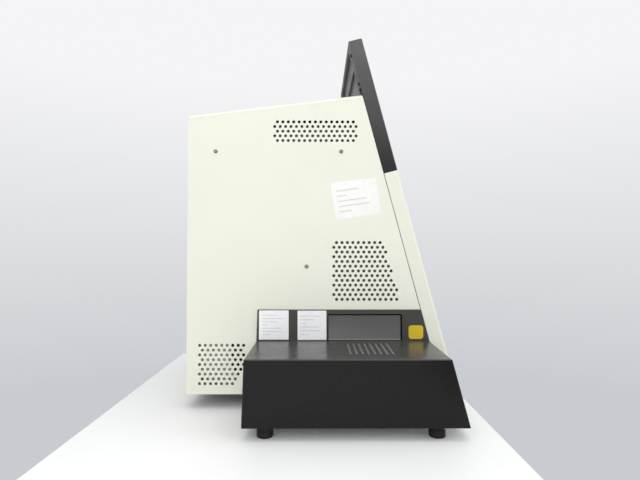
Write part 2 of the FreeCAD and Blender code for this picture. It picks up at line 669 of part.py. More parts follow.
def door_pins():
    length = JAMB_T + 2 * DOOR_GAP + 14.0
    left = rod(DOOR_PIN_R, length, V(X_LEFT + DOOR_SIDE - JAMB_T, -(FRONT_T - DOOR_BARREL_R),
                                     DOOR_HINGE_U), X_DIR)
    return Part.Compound([on_front(left), on_front(mirrored(left))])


def strip_middle():
    return (BEZEL_START + FRONT_WALL + DOOR_START - DOOR_GAP - JAMB_T) / 2


def button_place():
    return X_RIGHT - 40.0, strip_middle()


def light_place():
    return X_MID, strip_middle()


def door_button():
    x, u = button_place()
    head_l = FRONT_WALL + BUTTON_OUT
    rim_w = -FRONT_T + FRONT_WALL + FIT
    head = bar(BUTTON_R, head_l + FIT, V(x, rim_w, u), OUT_OF_FRONT, ROUND_SIDES)
    rim = bar(BUTTON_R + BUTTON_RIM, BUTTON_RIM_T, V(x, rim_w + BUTTON_RIM_T, u), OUT_OF_FRONT, ROUND_SIDES)
    stem = bar(STEM_R, STEM_L, V(x, rim_w + BUTTON_RIM_T + STEM_L - FIT, u), OUT_OF_FRONT)
    return on_front(joined([head, rim, stem]))


def button_housing():
    x, u = button_place()
    back = FRONT_T - FRONT_WALL
    case = bar(BUTTON_CASE_R, back, V(x, 0, u), OUT_OF_FRONT, ROUND_SIDES)
    hollow = bar(BUTTON_R + BUTTON_RIM + FIT, back - BUTTON_FLOOR, V(x, -BUTTON_FLOOR, u), OUT_OF_FRONT,
                 ROUND_SIDES)
    bore = bar(STEM_R + FIT, BUTTON_FLOOR, V(x, 0, u), OUT_OF_FRONT)
    return on_front(case.cut([hollow, bore]))


def status_lights():
    x, u = light_place()
    window = front_box(x - LIGHT_W / 2 + 0.2, x + LIGHT_W / 2 - 0.2, FRONT_T - FRONT_WALL, FRONT_T - 0.4,
                       u - 3.8, u + 3.8)
    flange = front_box(x - LIGHT_W / 2 - 3, x + LIGHT_W / 2 + 3, FRONT_T - 2 * FRONT_WALL,
                       FRONT_T - FRONT_WALL, u - 6, u + 6)
    return on_front(joined([window, flange]))


# Bay and chip station
def bay_liner():
    ceiling = BAY_FLOOR + BAY_H
    gap = SHEET / COS_FRONT
    side = [(BAY_REAR + SHEET, DECK_Z), (BAY_REAR + SHEET, ceiling + SHEET),
            (seam_at(ceiling + SHEET) + gap, ceiling + SHEET), (seam_at(DECK_Z) + gap, DECK_Z)]
    hollow = [(BAY_REAR, BAY_FLOOR), (BAY_REAR, ceiling),
              (seam_at(ceiling) - gap, ceiling), (seam_at(BAY_FLOOR) - gap, BAY_FLOOR)]
    liner = prism_x(side, BAY_X0 - SHEET, BAY_X1 + SHEET).cut(prism_x(hollow, BAY_X0, BAY_X1))
    bore = bar(OBJECTIVE_R + 3, SHEET, V(X_MID, STAGE_Y, DECK_Z), Z_DIR, ROUND_SIDES)
    return liner.cut(bore)


def stage_box(width, depth, z0, z1):
    return box(X_MID - width / 2, X_MID + width / 2, STAGE_Y - depth / 2, STAGE_Y + depth / 2, z0, z1)


def thermal_block():
    block = stage_box(BLOCK_W, BLOCK_D, BAY_FLOOR, BLOCK_TOP)
    slots = []
    for index in range(1, 8):
        x = X_MID - BLOCK_W / 2 + index * BLOCK_W / 8
        slots.append(box(x - 2, x + 2, STAGE_Y - BLOCK_D / 2, STAGE_Y - BLOCK_D / 2 + 8,
                         BAY_FLOOR + 3, BLOCK_TOP - 2))
    bore = bar(OBJECTIVE_R + 1, BLOCK_H, V(X_MID, STAGE_Y, BAY_FLOOR), Z_DIR, ROUND_SIDES)
    return block.cut(slots + [bore])


def chip_tray():
    tray = stage_box(TRAY_W, TRAY_D, BLOCK_TOP, TRAY_TOP)
    tray = eased(tray, 4, Z_DIR, lambda p: True)
    seat = stage_box(CHIP_SEAT, CHIP_SEAT, TRAY_TOP - CHIP_SEAT_DEPTH, TRAY_TOP)
    bore = bar(OBJECTIVE_R + 1, TRAY_H, V(X_MID, STAGE_Y, BLOCK_TOP), Z_DIR, ROUND_SIDES)
    posts = []
    for side in (-1, 1):
        start = V(X_MID + side * (TRAY_W / 2 - 6), STAGE_Y - TRAY_D / 2 + 6, TRAY_TOP)
        posts.append(bar(POST_R, LID_LIFT - FIT, start, Z_DIR))
    return joined([tray.cut([seat, bore])] + posts)


def lid_bracket():
    half = LID_W / 2 + LID_SIDE_GAP + CHEEK_T
    y0 = STAGE_Y + BLOCK_D / 2 + FIT
    y1 = y0 + BRACKET_D
    front, top = LID_HINGE_Y - CHEEK_FRONT, LID_HINGE_Z + CHEEK_RISE
    profile = [(front, top), (LID_HINGE_Y + CHEEK_REAR, top), (y1, BAY_FLOOR), (y0, BAY_FLOOR),
               (y0, BLOCK_TOP + FIT), (front, LID_HINGE_Z - CHEEK_FRONT)]
    cheeks = [prism_x(profile, x, x + CHEEK_T) for x in (X_MID - half, X_MID + half - CHEEK_T)]
    foot = box(X_MID - half, X_MID + half, y0, y1, BAY_FLOOR, BAY_FLOOR + BRACKET_H)
    bore = bar(around(LID_PIN_R, SMALL_SIDES), 2 * half, V(X_MID - half, LID_HINGE_Y, LID_HINGE_Z),
               X_DIR, SMALL_SIDES)
    return joined(cheeks + [foot]).cut(bore)


def lid_pin():
    half = LID_W / 2 + LID_SIDE_GAP + CHEEK_T
    return rod(LID_PIN_R, 2 * half, V(X_MID - half, LID_HINGE_Y, LID_HINGE_Z), X_DIR)


def cartridge_lid():
    x0, x1 = X_MID - LID_W / 2, X_MID + LID_W / 2
    front = LID_HINGE_Y - LID_LENGTH
    lid = box(x0, x1, front, LID_HINGE_Y - 5, LID_Z, LID_Z + LID_H)
    lid = eased(lid, 4, Z_DIR, lambda p: p.y < front + 1)
    hollow = box(x0 + LID_WALL, x1 - LID_WALL, front + LID_WALL, LID_HINGE_Y - 5 - LID_WALL,
                 LID_Z, LID_Z + LID_H - LID_WALL)
    knuckle = joined([bar(5, LID_W - 2, V(x0 + 1, LID_HINGE_Y, LID_HINGE_Z), X_DIR, ROUND_SIDES),
                      box(x0 + 1, x1 - 1, LID_HINGE_Y - 5 - 1, LID_HINGE_Y, LID_HINGE_Z - 4,
                          LID_HINGE_Z + 4)])
    head = stage_box(54, 34, LID_Z, LID_Z + LID_H - LID_WALL)
    tab = box(X_MID - 14, X_MID + 14, front - 8, front, LID_Z + 4, LID_Z + 8)
    bore = bar(around(LID_PIN_R, SMALL_SIDES), LID_W, V(x0, LID_HINGE_Y, LID_HINGE_Z), X_DIR, SMALL_SIDES)
    return joined([lid.cut(hollow), knuckle, head, tab]).cut(bore)


def electrode_places():
    return [(X_MID + (column - 1.5) * 13.0, STAGE_Y + row * 10.0) for row in (-1, 1) for column in range(4)]


def electrode_pins():
    pins = []
    for x, y in electrode_places():
        pins.append(bar(ELECTRODE_R, ELECTRODE_L, V(x, y, LID_Z - ELECTRODE_L), Z_DIR, SQUARE_SIDES))
    return Part.Compound(pins)


def optics_block():
    top = DECK_Z - DECK_T
    block = stage_box(OPTICS_W, OPTICS_D, top - OPTICS_H, top)
    block = eased(block, 5, Z_DIR, lambda p: True)
    bore = bar(OBJECTIVE_R + RUN_GAP, OPTICS_H / 2, V(X_MID, STAGE_Y, top - OPTICS_H / 2), Z_DIR, ROUND_SIDES)
    fins = []
    for index in range(6):
        y = STAGE_Y + 20 + index * 7
        fins.append(box(X_MID - OPTICS_W / 2, X_MID - OPTICS_W / 2 + 10, y, y + 3,
                        top - OPTICS_H + 8, top - 8))
    return block.cut([bore] + fins)


def objective_barrel():
    start = DECK_Z - DECK_T - OPTICS_H / 2
    barrel = bar(OBJECTIVE_R, OBJECTIVE_TOP - start, V(X_MID, STAGE_Y, start), Z_DIR, ROUND_SIDES)
    seat = bar(LENS_R, LENS_SEAT, V(X_MID, STAGE_Y, OBJECTIVE_TOP - LENS_SEAT), Z_DIR, ROUND_SIDES)
    return barrel.cut(seat)


def objective_lens():
    return bar(LENS_R, LENS_T, V(X_MID, STAGE_Y, OBJECTIVE_TOP - LENS_SEAT), Z_DIR, ROUND_SIDES)


# Plate loader housing
def unit_side(z0, z1, inset):
    def rear_at(z):
        return UNIT_REAR_TOP + (SHELF_Z - z) * UNIT_REAR_LEAN - inset
    def front_at(z):
        return seam_at(z) + (UNIT_SETBACK + inset) / COS_FRONT
    return [(rear_at(z0), z0), (rear_at(z1), z1), (front_at(z1), z1), (front_at(z0), z0)]


def slot_places():
    first = OPEN_MID_Y - (SLOT_COUNT - 1) * SLOT_PITCH / 2 - 1.0
    return [first + index * SLOT_PITCH for index in range(SLOT_COUNT)]


def side_housing():
    outer = prism_x(unit_side(UNIT_BOTTOM, SHELF_Z, 0), X_OUT, X_LEFT)
    outer = outer.makeChamfer(UNIT_EDGE_R, [edge for edge in outer.Edges
                                            if edge.CenterOfMass.x < X_LEFT - 1
                                            and edge.CenterOfMass.z > UNIT_BOTTOM + 1])
    inner = prism_x(unit_side(UNIT_BOTTOM, SHELF_Z - UNIT_WALL, UNIT_WALL), X_OUT + UNIT_WALL, X_LEFT)
    riser = prism_x(unit_side(SHELF_Z - UNIT_WALL, RISER_TOP, 0), X_LEFT - RISER_T, X_LEFT)
    collar = box(X_LEFT - RISER_T, X_LEFT - RISER_T + COLLAR_DEPTH, OPEN_Y0 - COLLAR_T, OPEN_Y1 + COLLAR_T,
                 SHELF_Z - COLLAR_T, OPEN_TOP + COLLAR_T)
    opening = box(X_LEFT - RISER_T, X_LEFT + COLLAR_DEPTH, OPEN_Y0, OPEN_Y1, SHELF_Z, OPEN_TOP)
    opening = eased(opening, OPEN_CORNER_R, X_DIR, lambda p: p.z > SHELF_Z + 1)
    slots = []
    for y in slot_places():
        slots.append(box(X_LEFT - SLOT_FAR, X_LEFT - SLOT_NEAR, y - SLOT_W / 2, y + SLOT_W / 2,
                         SHELF_Z - UNIT_WALL, SHELF_Z))
    pins = bar(around(FLAP_PIN_R, SMALL_SIDES), OPEN_W + 2 * COLLAR_T,
               V(FLAP_PIVOT_X, OPEN_Y0 - COLLAR_T, FLAP_PIVOT_Z), Y_DIR, SMALL_SIDES)
    shell = joined([outer.cut(inner), riser, collar])
    return shell.cut([opening, pins] + slots)


def side_base_plate():
    plate = prism_x(unit_side(UNIT_BOTTOM + 1.0, UNIT_BOTTOM + 1.0 + SHEET, UNIT_WALL + FIT),
                    X_OUT + UNIT_WALL + FIT, X_LEFT)
    return plate


def vent_screen():
    top = SHELF_Z - UNIT_WALL
    first, last = slot_places()[0], slot_places()[-1]
    x0, x1 = X_LEFT - SLOT_FAR - SCREEN_MARGIN, X_LEFT - SLOT_NEAR + SCREEN_MARGIN
    sheet = box(x0, x1, first - SCREEN_MARGIN, last + SCREEN_MARGIN, top - SCREEN_T, top)
    return sheet


def unit_foot_places():
    return [(X_OUT + UNIT_FOOT_INSET, y) for y in UNIT_FEET_Y]


def rubber_foot(radius, height, x, y):
    return bar(radius, height, V(x, y, 0), Z_DIR, ROUND_SIDES)


def unit_feet():
    height = UNIT_BOTTOM + 1.0
    return Part.Compound([rubber_foot(UNIT_FOOT_R, height, x, y) for x, y in unit_foot_places()])


def body_foot_places():
    rear, front = UNIT_FEET_Y
    return [(x, y) for x in (X_LEFT + 40.0, X_RIGHT - 40.0) for y in (rear, front)]


def body_feet():
    return Part.Compound([rubber_foot(BODY_FOOT_R, BODY_BOTTOM, x, y) for x, y in body_foot_places()])


# Plate flap
def plate_flap():
    y0, y1 = OPEN_Y0 + FLAP_GAP_SIDE, OPEN_Y1 - FLAP_GAP_SIDE
    x0 = FLAP_PIVOT_X - FLAP_T / 2
    z0, z1 = SHELF_Z + FLAP_GAP_BOTTOM, OPEN_TOP - FLAP_GAP_TOP
    flap = box(x0, x0 + FLAP_T, y0, y1, z0, z1)
    flap = eased(flap, FLAP_EDGE, Y_DIR, lambda p: True)
    bore = bar(around(FLAP_PIN_R, SMALL_SIDES), y1 - y0, V(FLAP_PIVOT_X, y0, FLAP_PIVOT_Z), Y_DIR,
               SMALL_SIDES)
    return flap.cut(bore)


def flap_pin():
    start = V(FLAP_PIVOT_X, OPEN_Y0 - COLLAR_T, FLAP_PIVOT_Z)
    return rod(FLAP_PIN_R, OPEN_W + 2 * COLLAR_T, start, Y_DIR)


# Plate drive
def rail_base():
    half = RAIL_CARRIER_W / 2
    outer = box(CARRIER_X0, CARRIER_X1, OPEN_MID_Y - half, OPEN_MID_Y + half, PAN_TOP, RAIL_Z)
    inner = box(CARRIER_X0, CARRIER_X1, OPEN_MID_Y - half + SHEET, OPEN_MID_Y + half - SHEET,
                PAN_TOP + SHEET, RAIL_Z)
    flange_w = RAIL_W + 2
    flanges = [box(CARRIER_X0, CARRIER_X1, OPEN_MID_Y - half, OPEN_MID_Y - half + flange_w,
                   RAIL_Z - SHEET, RAIL_Z),
               box(CARRIER_X0, CARRIER_X1, OPEN_MID_Y + half - flange_w, OPEN_MID_Y + half,
                   RAIL_Z - SHEET, RAIL_Z)]
    cuts = []
    low = PAN_TOP + RAIL_WINDOW_LIFT
    for index in range(RAIL_WINDOWS):
        x = CARRIER_X0 + (index + 1) * (CARRIER_X1 - CARRIER_X0) / (RAIL_WINDOWS + 1)
        cuts.append(box(x - RAIL_WINDOW_W / 2, x + RAIL_WINDOW_W / 2, OPEN_MID_Y - half, OPEN_MID_Y + half,
                        low, low + RAIL_WINDOW_H))
    cuts.append(bar(around(SHAFT_R, SMALL_SIDES), SHEET, V(PULLEY_X[1], OPEN_MID_Y + half - SHEET, PULLEY_Z),
                    Y_DIR, SMALL_SIDES))
    return joined([outer.cut(inner)] + flanges).cut(cuts)


def rail_places():
    return [OPEN_MID_Y + side * RAIL_SPACING / 2 for side in (-1, 1)]


def slide_rails():
    rails = []
    for y in rail_places():
        rails.append(box(CARRIER_X0, CARRIER_X1, y - RAIL_W / 2, y + RAIL_W / 2, RAIL_Z, RAIL_Z + RAIL_H))
    return Part.Compound(rails)


def nest_carriage():
    z1 = NEST_Z
    z0 = z1 - CARRIAGE_T
    block = box(CARRIAGE_X, CARRIAGE_X + CARRIAGE_L, OPEN_MID_Y - CARRIAGE_W / 2,
                OPEN_MID_Y + CARRIAGE_W / 2, z0, z1)
    grooves = []
    for y in rail_places():
        grooves.append(box(CARRIAGE_X, CARRIAGE_X + CARRIAGE_L, y - RAIL_W / 2 - FIT, y + RAIL_W / 2 + FIT,
                           z0, RAIL_Z + RAIL_H + FIT))
    lug = box(CARRIAGE_X + 10, CARRIAGE_X + CARRIAGE_L - 10, OPEN_MID_Y - BELT_W / 2,
              OPEN_MID_Y + BELT_W / 2, BELT_TOP_Z + FIT, z0)
    return joined([block, lug]).cut(grooves)


def carriage_screw_places():
    x_mid = CARRIAGE_X + CARRIAGE_L / 2
    return [(x_mid + dx, OPEN_MID_Y + dy) for dx in (-16, 16) for dy in (-12, 12)]


def carriage_screws():
    screws = []
    for x, y in carriage_screw_places():
        screws.append(bar(CARRIAGE_SCREW_R, CARRIAGE_SCREW_H, V(x, y, NEST_Z + NEST_BASE_T), Z_DIR))
    return Part.Compound(screws)


def plate_nest():
    y0, y1 = OPEN_MID_Y - NEST_W / 2, OPEN_MID_Y + NEST_W / 2
    x1 = NEST_X + NEST_L
    tray = box(NEST_X, x1, y0, y1, NEST_Z, NEST_Z + NEST_BASE_T + NEST_WALL_H)
    tray = eased(tray, 3, Z_DIR, lambda p: True)
    mid_x = (NEST_X + x1) / 2
    pocket = box(mid_x - POCKET_L / 2, mid_x + POCKET_L / 2, OPEN_MID_Y - POCKET_W / 2,
                 OPEN_MID_Y + POCKET_W / 2, NEST_Z + NEST_BASE_T, NEST_Z + NEST_POST_H * 2)
    gaps = [box(mid_x - 26, mid_x + 26, y0, y1, NEST_Z + NEST_BASE_T, NEST_Z + NEST_POST_H * 2),
            box(NEST_X, x1, OPEN_MID_Y - 40, OPEN_MID_Y + 40, NEST_Z + NEST_BASE_T,
                NEST_Z + NEST_POST_H * 2)]
    window = box(mid_x - 30, mid_x + 30, OPEN_MID_Y - 48, OPEN_MID_Y + 48, NEST_Z, NEST_Z + NEST_BASE_T)
    window = eased(window, WINDOW_CORNER, Z_DIR, lambda p: True)
    tongue = box(x1 - 4, CARRIAGE_X + CARRIAGE_L, OPEN_MID_Y - TONGUE_W / 2, OPEN_MID_Y + TONGUE_W / 2,
                 NEST_Z, NEST_Z + NEST_BASE_T)
    return joined([tray.cut([pocket, window] + gaps), tongue])


def pulley_body(x):
    start = V(x, OPEN_MID_Y - PULLEY_W / 2, PULLEY_Z)
    drum = bar(PULLEY_R, PULLEY_W, start, Y_DIR, ROUND_SIDES)
    rim = PULLEY_R + PULLEY_FLANGE_H
    far = start + V(0, PULLEY_W - PULLEY_FLANGE_T, 0)
    flanges = [bar(rim, PULLEY_FLANGE_T, place, Y_DIR, ROUND_SIDES) for place in (start, far)]
    return joined([drum] + flanges)


def drive_pulley():
    length = RAIL_CARRIER_W / 2 + 14
    shaft = rod(SHAFT_R, length, V(PULLEY_X[1], OPEN_MID_Y - 12, PULLEY_Z), Y_DIR)
    return joined([pulley_body(PULLEY_X[1]), shaft])


def idler_pulley():
    x = PULLEY_X[0]
    start = V(x, OPEN_MID_Y - PULLEY_W / 2, PULLEY_Z)
    bore = bar(around(SHAFT_R, SMALL_SIDES), PULLEY_W, start, Y_DIR, SMALL_SIDES)
    return pulley_body(x).cut(bore)


def idler_pin():
    length = RAIL_CARRIER_W - 2 * SHEET
    return rod(SHAFT_R, length, V(PULLEY_X[0], OPEN_MID_Y - length / 2, PULLEY_Z), Y_DIR)


def belt_loop(radius):
    y0 = OPEN_MID_Y - BELT_W / 2
    ends = [bar(radius, BELT_W, V(x, y0, PULLEY_Z), Y_DIR, RING_SIDES) for x in PULLEY_X]
    flat = radius * math.cos(math.pi / RING_SIDES)
    middle = box(PULLEY_X[0], PULLEY_X[1], y0, y0 + BELT_W, PULLEY_Z - flat, PULLEY_Z + flat)
    return joined(ends + [middle])


def drive_belt():
    inner = PULLEY_R + FIT
    return belt_loop(inner + BELT_T).cut(belt_loop(inner))


def drive_motor():
    y0 = OPEN_MID_Y + RAIL_CARRIER_W / 2
    half = MOTOR_SIZE / 2
    x = PULLEY_X[1]
    body = box(x - half, x + half, y0, y0 + MOTOR_L, PULLEY_Z - half, PULLEY_Z + half)
    body = eased(body, 4, Y_DIR, lambda p: True)
    bore = bar(around(SHAFT_R, SMALL_SIDES), MOTOR_L / 2, V(x, y0, PULLEY_Z), Y_DIR, SMALL_SIDES)
    out, deep = half + 1, half - 1
    band = box(x - out, x + out, y0 + 10, y0 + MOTOR_L - 10, PULLEY_Z - out, PULLEY_Z + out)
    core = box(x - deep, x + deep, y0 + 9, y0 + MOTOR_L - 9, PULLEY_Z - deep, PULLEY_Z + deep)
    return body.cut([band.cut(core), bore])


# Electrical parts
def fan_screw_places():
    offset = FAN_SIZE / 2 - 4.75
    return [(FAN_X + dx * offset, FAN_Z + dz * offset) for dx in (-1, 1) for dz in (-1, 1)]


def fan_frame():
    half = FAN_SIZE / 2
    y0 = REAR_INSIDE - FAN_DEPTH
    frame = box(FAN_X - half, FAN_X + half, y0, REAR_INSIDE, FAN_Z - half, FAN_Z + half)
    frame = eased(frame, FAN_CORNER, Y_DIR, lambda p: True)
    duct = bar(FAN_BORE_R, FAN_DEPTH, V(FAN_X, y0, FAN_Z), Y_DIR, RING_SIDES)
    hub = bar(FAN_HUB_R, 4, V(FAN_X, y0, FAN_Z), Y_DIR, ROUND_SIDES)
    axle = rod(SHAFT_R, FAN_DEPTH - 6, V(FAN_X, y0, FAN_Z), Y_DIR)
    arms = []
    for index in range(3):
        arm = box(FAN_X - 3, FAN_X + 3, y0, y0 + 4, FAN_Z, FAN_Z + FAN_BORE_R + 1)
        arm.rotate(V(FAN_X, 0, FAN_Z), Y_DIR, index * 120.0)
        arms.append(arm)
    return joined([frame.cut(duct), hub, axle] + arms)


def fan_rotor():
    y0 = REAR_INSIDE - FAN_DEPTH + 5
    y1 = REAR_INSIDE - 2
    hub = bar(FAN_HUB_R, y1 - y0, V(FAN_X, y0, FAN_Z), Y_DIR, ROUND_SIDES)
    blades = []
    for index in range(FAN_BLADES):
        blade = box(FAN_X - 0.9, FAN_X + 0.9, y0 + 1, y1 - 1, FAN_Z + FAN_HUB_R - 3,
                    FAN_Z + FAN_BORE_R - 1.5)
        blade.rotate(V(FAN_X, (y0 + y1) / 2, FAN_Z), Z_DIR, 38.0)
        blade.rotate(V(FAN_X, 0, FAN_Z), Y_DIR, index * 360.0 / FAN_BLADES)
        blades.append(blade)
    bore = bar(around(SHAFT_R, SMALL_SIDES), FAN_DEPTH, V(FAN_X, y0, FAN_Z), Y_DIR, SMALL_SIDES)
    return joined([hub] + blades).cut(bore)


def fan_guard():
    y1 = REAR_Y + GUARD_OUT
    y0 = y1 - GUARD_WIRE
    rings = []
    centre = V(FAN_X, y0, FAN_Z)
    for radius in GUARD_RINGS:
        hollow = bar(radius - GUARD_WIRE, GUARD_WIRE, centre, Y_DIR, ROUND_SIDES)
        rings.append(bar(radius, GUARD_WIRE, centre, Y_DIR, ROUND_SIDES).cut(hollow))
    spokes = []
    for x, z in fan_screw_places():
        reach = math.hypot(x - FAN_X, z - FAN_Z)
        spoke = box(FAN_X - 1, FAN_X + 1, y0 - 0.5, y1 - 0.5, FAN_Z + GUARD_RINGS[0] - GUARD_WIRE,
                    FAN_Z + reach - SCREW_HEAD_R + FIT)
        spoke.rotate(V(FAN_X, 0, FAN_Z), Y_DIR, math.degrees(math.atan2(x - FAN_X, z - FAN_Z)))
        spokes.append(spoke)
        spokes.append(bar(GUARD_FOOT_R, y0 - REAR_Y + 0.5, V(x, REAR_Y, z), Y_DIR))
    return joined(rings + spokes)


def fan_screws():
    y = REAR_Y + GUARD_OUT - GUARD_WIRE + 0.5
    return Part.Compound([bar(SCREW_HEAD_R - 0.5, 1.0, V(x, y, z), Y_DIR) for x, z in fan_screw_places()])


def inlet_box(x0, x1, z0, z1, y0, y1):
    return box(INLET_X + x0, INLET_X + x1, y0, y1, INLET_Z + z0, INLET_Z + z1)


def power_inlet():
    flange = inlet_box(-INLET_W / 2, INLET_W / 2, -INLET_H / 2, INLET_H / 2, REAR_Y, REAR_Y + 3)
    half_w, half_h = INLET_W / 2 - INLET_RIM - FIT, INLET_H / 2 - INLET_RIM - FIT
    body = inlet_box(-half_w, half_w, -half_h, half_h, REAR_Y - INLET_DEPTH, REAR_Y)
    socket = [(INLET_X - 12, -20), (INLET_X + 12, -20), (INLET_X + 12, -9), (INLET_X + 7, -4),
              (INLET_X - 7, -4), (INLET_X - 12, -9)]
    corners = [V(x, REAR_Y - 17, INLET_Z + z) for x, z in socket]
    recess = Part.Face(Part.makePolygon(corners + corners[:1])).extrude(V(0, 21, 0))
    rocker = inlet_box(-10.5, 10.5, 6, 21, REAR_Y - 16, REAR_Y + 3)
    axle_x = INLET_X - ROCKER_AXLE_L / 2 - 0.2
    axle = bar(around(ROCKER_AXLE_R, SMALL_SIDES), ROCKER_AXLE_L + 0.4,
               V(axle_x, REAR_Y - ROCKER_AXLE_INSET, INLET_Z + ROCKER_LIFT), X_DIR, SMALL_SIDES)
    return joined([flange, body]).cut([recess, rocker, axle] + inlet_blades())


def inlet_pin_places():
    return [(-7, -10), (7, -10), (0, -15)]


def inlet_blades():
    blades = []
    for x, z in inlet_pin_places():
        blades.append(inlet_box(x - BLADE_W / 2, x + BLADE_W / 2, z - BLADE_H / 2, z + BLADE_H / 2,
                                REAR_Y - INLET_DEPTH + 2, REAR_Y - INLET_DEPTH + 2 + BLADE_L))
    return blades


def inlet_pins():
    return Part.Compound(inlet_blades())


def power_rocker():
    y_axis, z_axis = REAR_Y - ROCKER_AXLE_INSET, INLET_Z + ROCKER_LIFT
    block = box(INLET_X - 10.1, INLET_X + 10.1, y_axis - 3, REAR_Y + 3, z_axis - 6.6, z_axis + 6.6)
    dish = rod(22, 20.2, V(INLET_X - 10.1, REAR_Y + 3 + 21.3, z_axis), X_DIR)
    axle = rod(ROCKER_AXLE_R, ROCKER_AXLE_L, V(INLET_X - ROCKER_AXLE_L / 2, y_axis, z_axis), X_DIR)
    rocker = joined([block.cut(dish), axle])
    rocker.rotate(V(0, y_axis, z_axis), X_DIR, ROCKER_TILT)
    return rocker


def port_places():
    return [(INLET_X - offset, width, height) for offset, width, height in PORTS]


def data_ports():
    ports = []
    for x, width, height in port_places():
        half_w, half_h = width / 2 - PORT_WALL, height / 2 - PORT_WALL
        y1 = REAR_Y + PORT_OUT
        shell = box(x - width / 2, x + width / 2, REAR_Y - PORT_DEPTH, y1, INLET_Z - height / 2,
                    INLET_Z + height / 2)
        mouth = box(x - half_w, x + half_w, REAR_Y - PORT_DEPTH + 3, y1, INLET_Z - half_h, INLET_Z + half_h)
        tongue = box(x - width / 4, x + width / 4, REAR_Y - PORT_DEPTH + 2, REAR_Y - 2,
                     INLET_Z - 1, INLET_Z + 1.5)
        ports.append(joined([shell.cut(mouth), tongue]))
    return Part.Compound(ports)


def port_board():
    left = port_places()[1][0] - PORT_BOARD_MARGIN
    right = port_places()[0][0] + PORT_BOARD_MARGIN
    under = INLET_Z - PORT_BOARD_DROP
    board = box(left, right, REAR_Y - PORT_BOARD_D, REAR_INSIDE - FIT, under, under + BOARD_T)
    legs = [bar(POST_R, under - PAN_TOP, V(x, REAR_Y - PORT_BOARD_D + BOARD_INSET, PAN_TOP), Z_DIR)
            for x in (left + BOARD_INSET, right - BOARD_INSET)]
    return joined([board] + legs)


def power_supply():
    x1 = X_FRAME_RIGHT - SHEET - FIT
    y0 = OPEN_MID_Y + RAIL_CARRIER_W / 2 + MOTOR_L + PSU_MOTOR_GAP
    y1 = REAR_Y - INLET_DEPTH - PSU_SETBACK
    case = box(x1 - PSU_W, x1, y0, y1, PAN_TOP, PAN_TOP + PSU_H)
    slots = []
    count = int((y1 - y0 - 2 * PSU_SLOT_MARGIN) / PSU_SLOT_PITCH) + 1
    for index in range(count):
        y = y1 - PSU_SLOT_MARGIN - index * PSU_SLOT_PITCH
        slots.append(box(x1 - PSU_W, x1 - PSU_W + PSU_SLOT_DEPTH, y - PSU_SLOT_W / 2, y + PSU_SLOT_W / 2,
                         PAN_TOP + PSU_SLOT_MARGIN, PAN_TOP + PSU_H - PSU_SLOT_MARGIN))
    return case.cut(slots)


def board_places():
    y1 = DECK_REAR - 4
    z0 = DECK_Z - 40 - BOARD_H
    return y1 - BOARD_D, y1, z0, z0 + BOARD_H


def circuit_board():
    y0, y1, z0, z1 = board_places()
    x1 = X_FRAME_RIGHT - SHEET - STANDOFF
    board = box(x1 - BOARD_T, x1, y0, y1, z0, z1)
    posts = []
    for y in (y0 + BOARD_INSET, y1 - BOARD_INSET):
        for z in (z0 + BOARD_INSET, z1 - BOARD_INSET):
            posts.append(bar(POST_R, STANDOFF, V(x1, y, z), X_DIR))
    return joined([board] + posts)


def board_components():
    y0, _, z0, z1 = board_places()
    x1 = X_FRAME_RIGHT - SHEET - STANDOFF - BOARD_T
    pieces = []
    for out, near, far, low, high in BOARD_PARTS:
        pieces.append(box(x1 - out, x1, y0 + near, y0 + far, z0 + low, z0 + high))
    for index in range(CAN_COUNT):
        start = V(x1 - CAN_H, y0 + CAN_START + index * CAN_PITCH, z1 - CAN_DROP)
        pieces.append(bar(CAN_R, CAN_H, start, X_DIR, SMALL_SIDES))
    return Part.Compound(pieces)


def screw_head(start, direction):
    return bar(SCREW_HEAD_R, SCREW_HEAD_T, start, direction)


def side_screws():
    left = [screw_head(V(X_LEFT, y, z), V(-1, 0, 0)) for y, z in side_screw_places()]
    right = [screw_head(V(X_RIGHT, y, z), X_DIR) for y, z in side_screw_places()]
    return Part.Compound(left + right)


def rear_screw_places():
    sides = (X_INNER_LEFT + REAR_SCREW_INSET, X_INNER_RIGHT - REAR_SCREW_INSET)
    return [(x, BODY_BOTTOM + lift) for x in sides for lift in REAR_SCREW_LIFTS]


def rear_screws():
    return Part.Compound([screw_head(V(x, REAR_Y, z), Y_DIR) for x, z in rear_screw_places()])


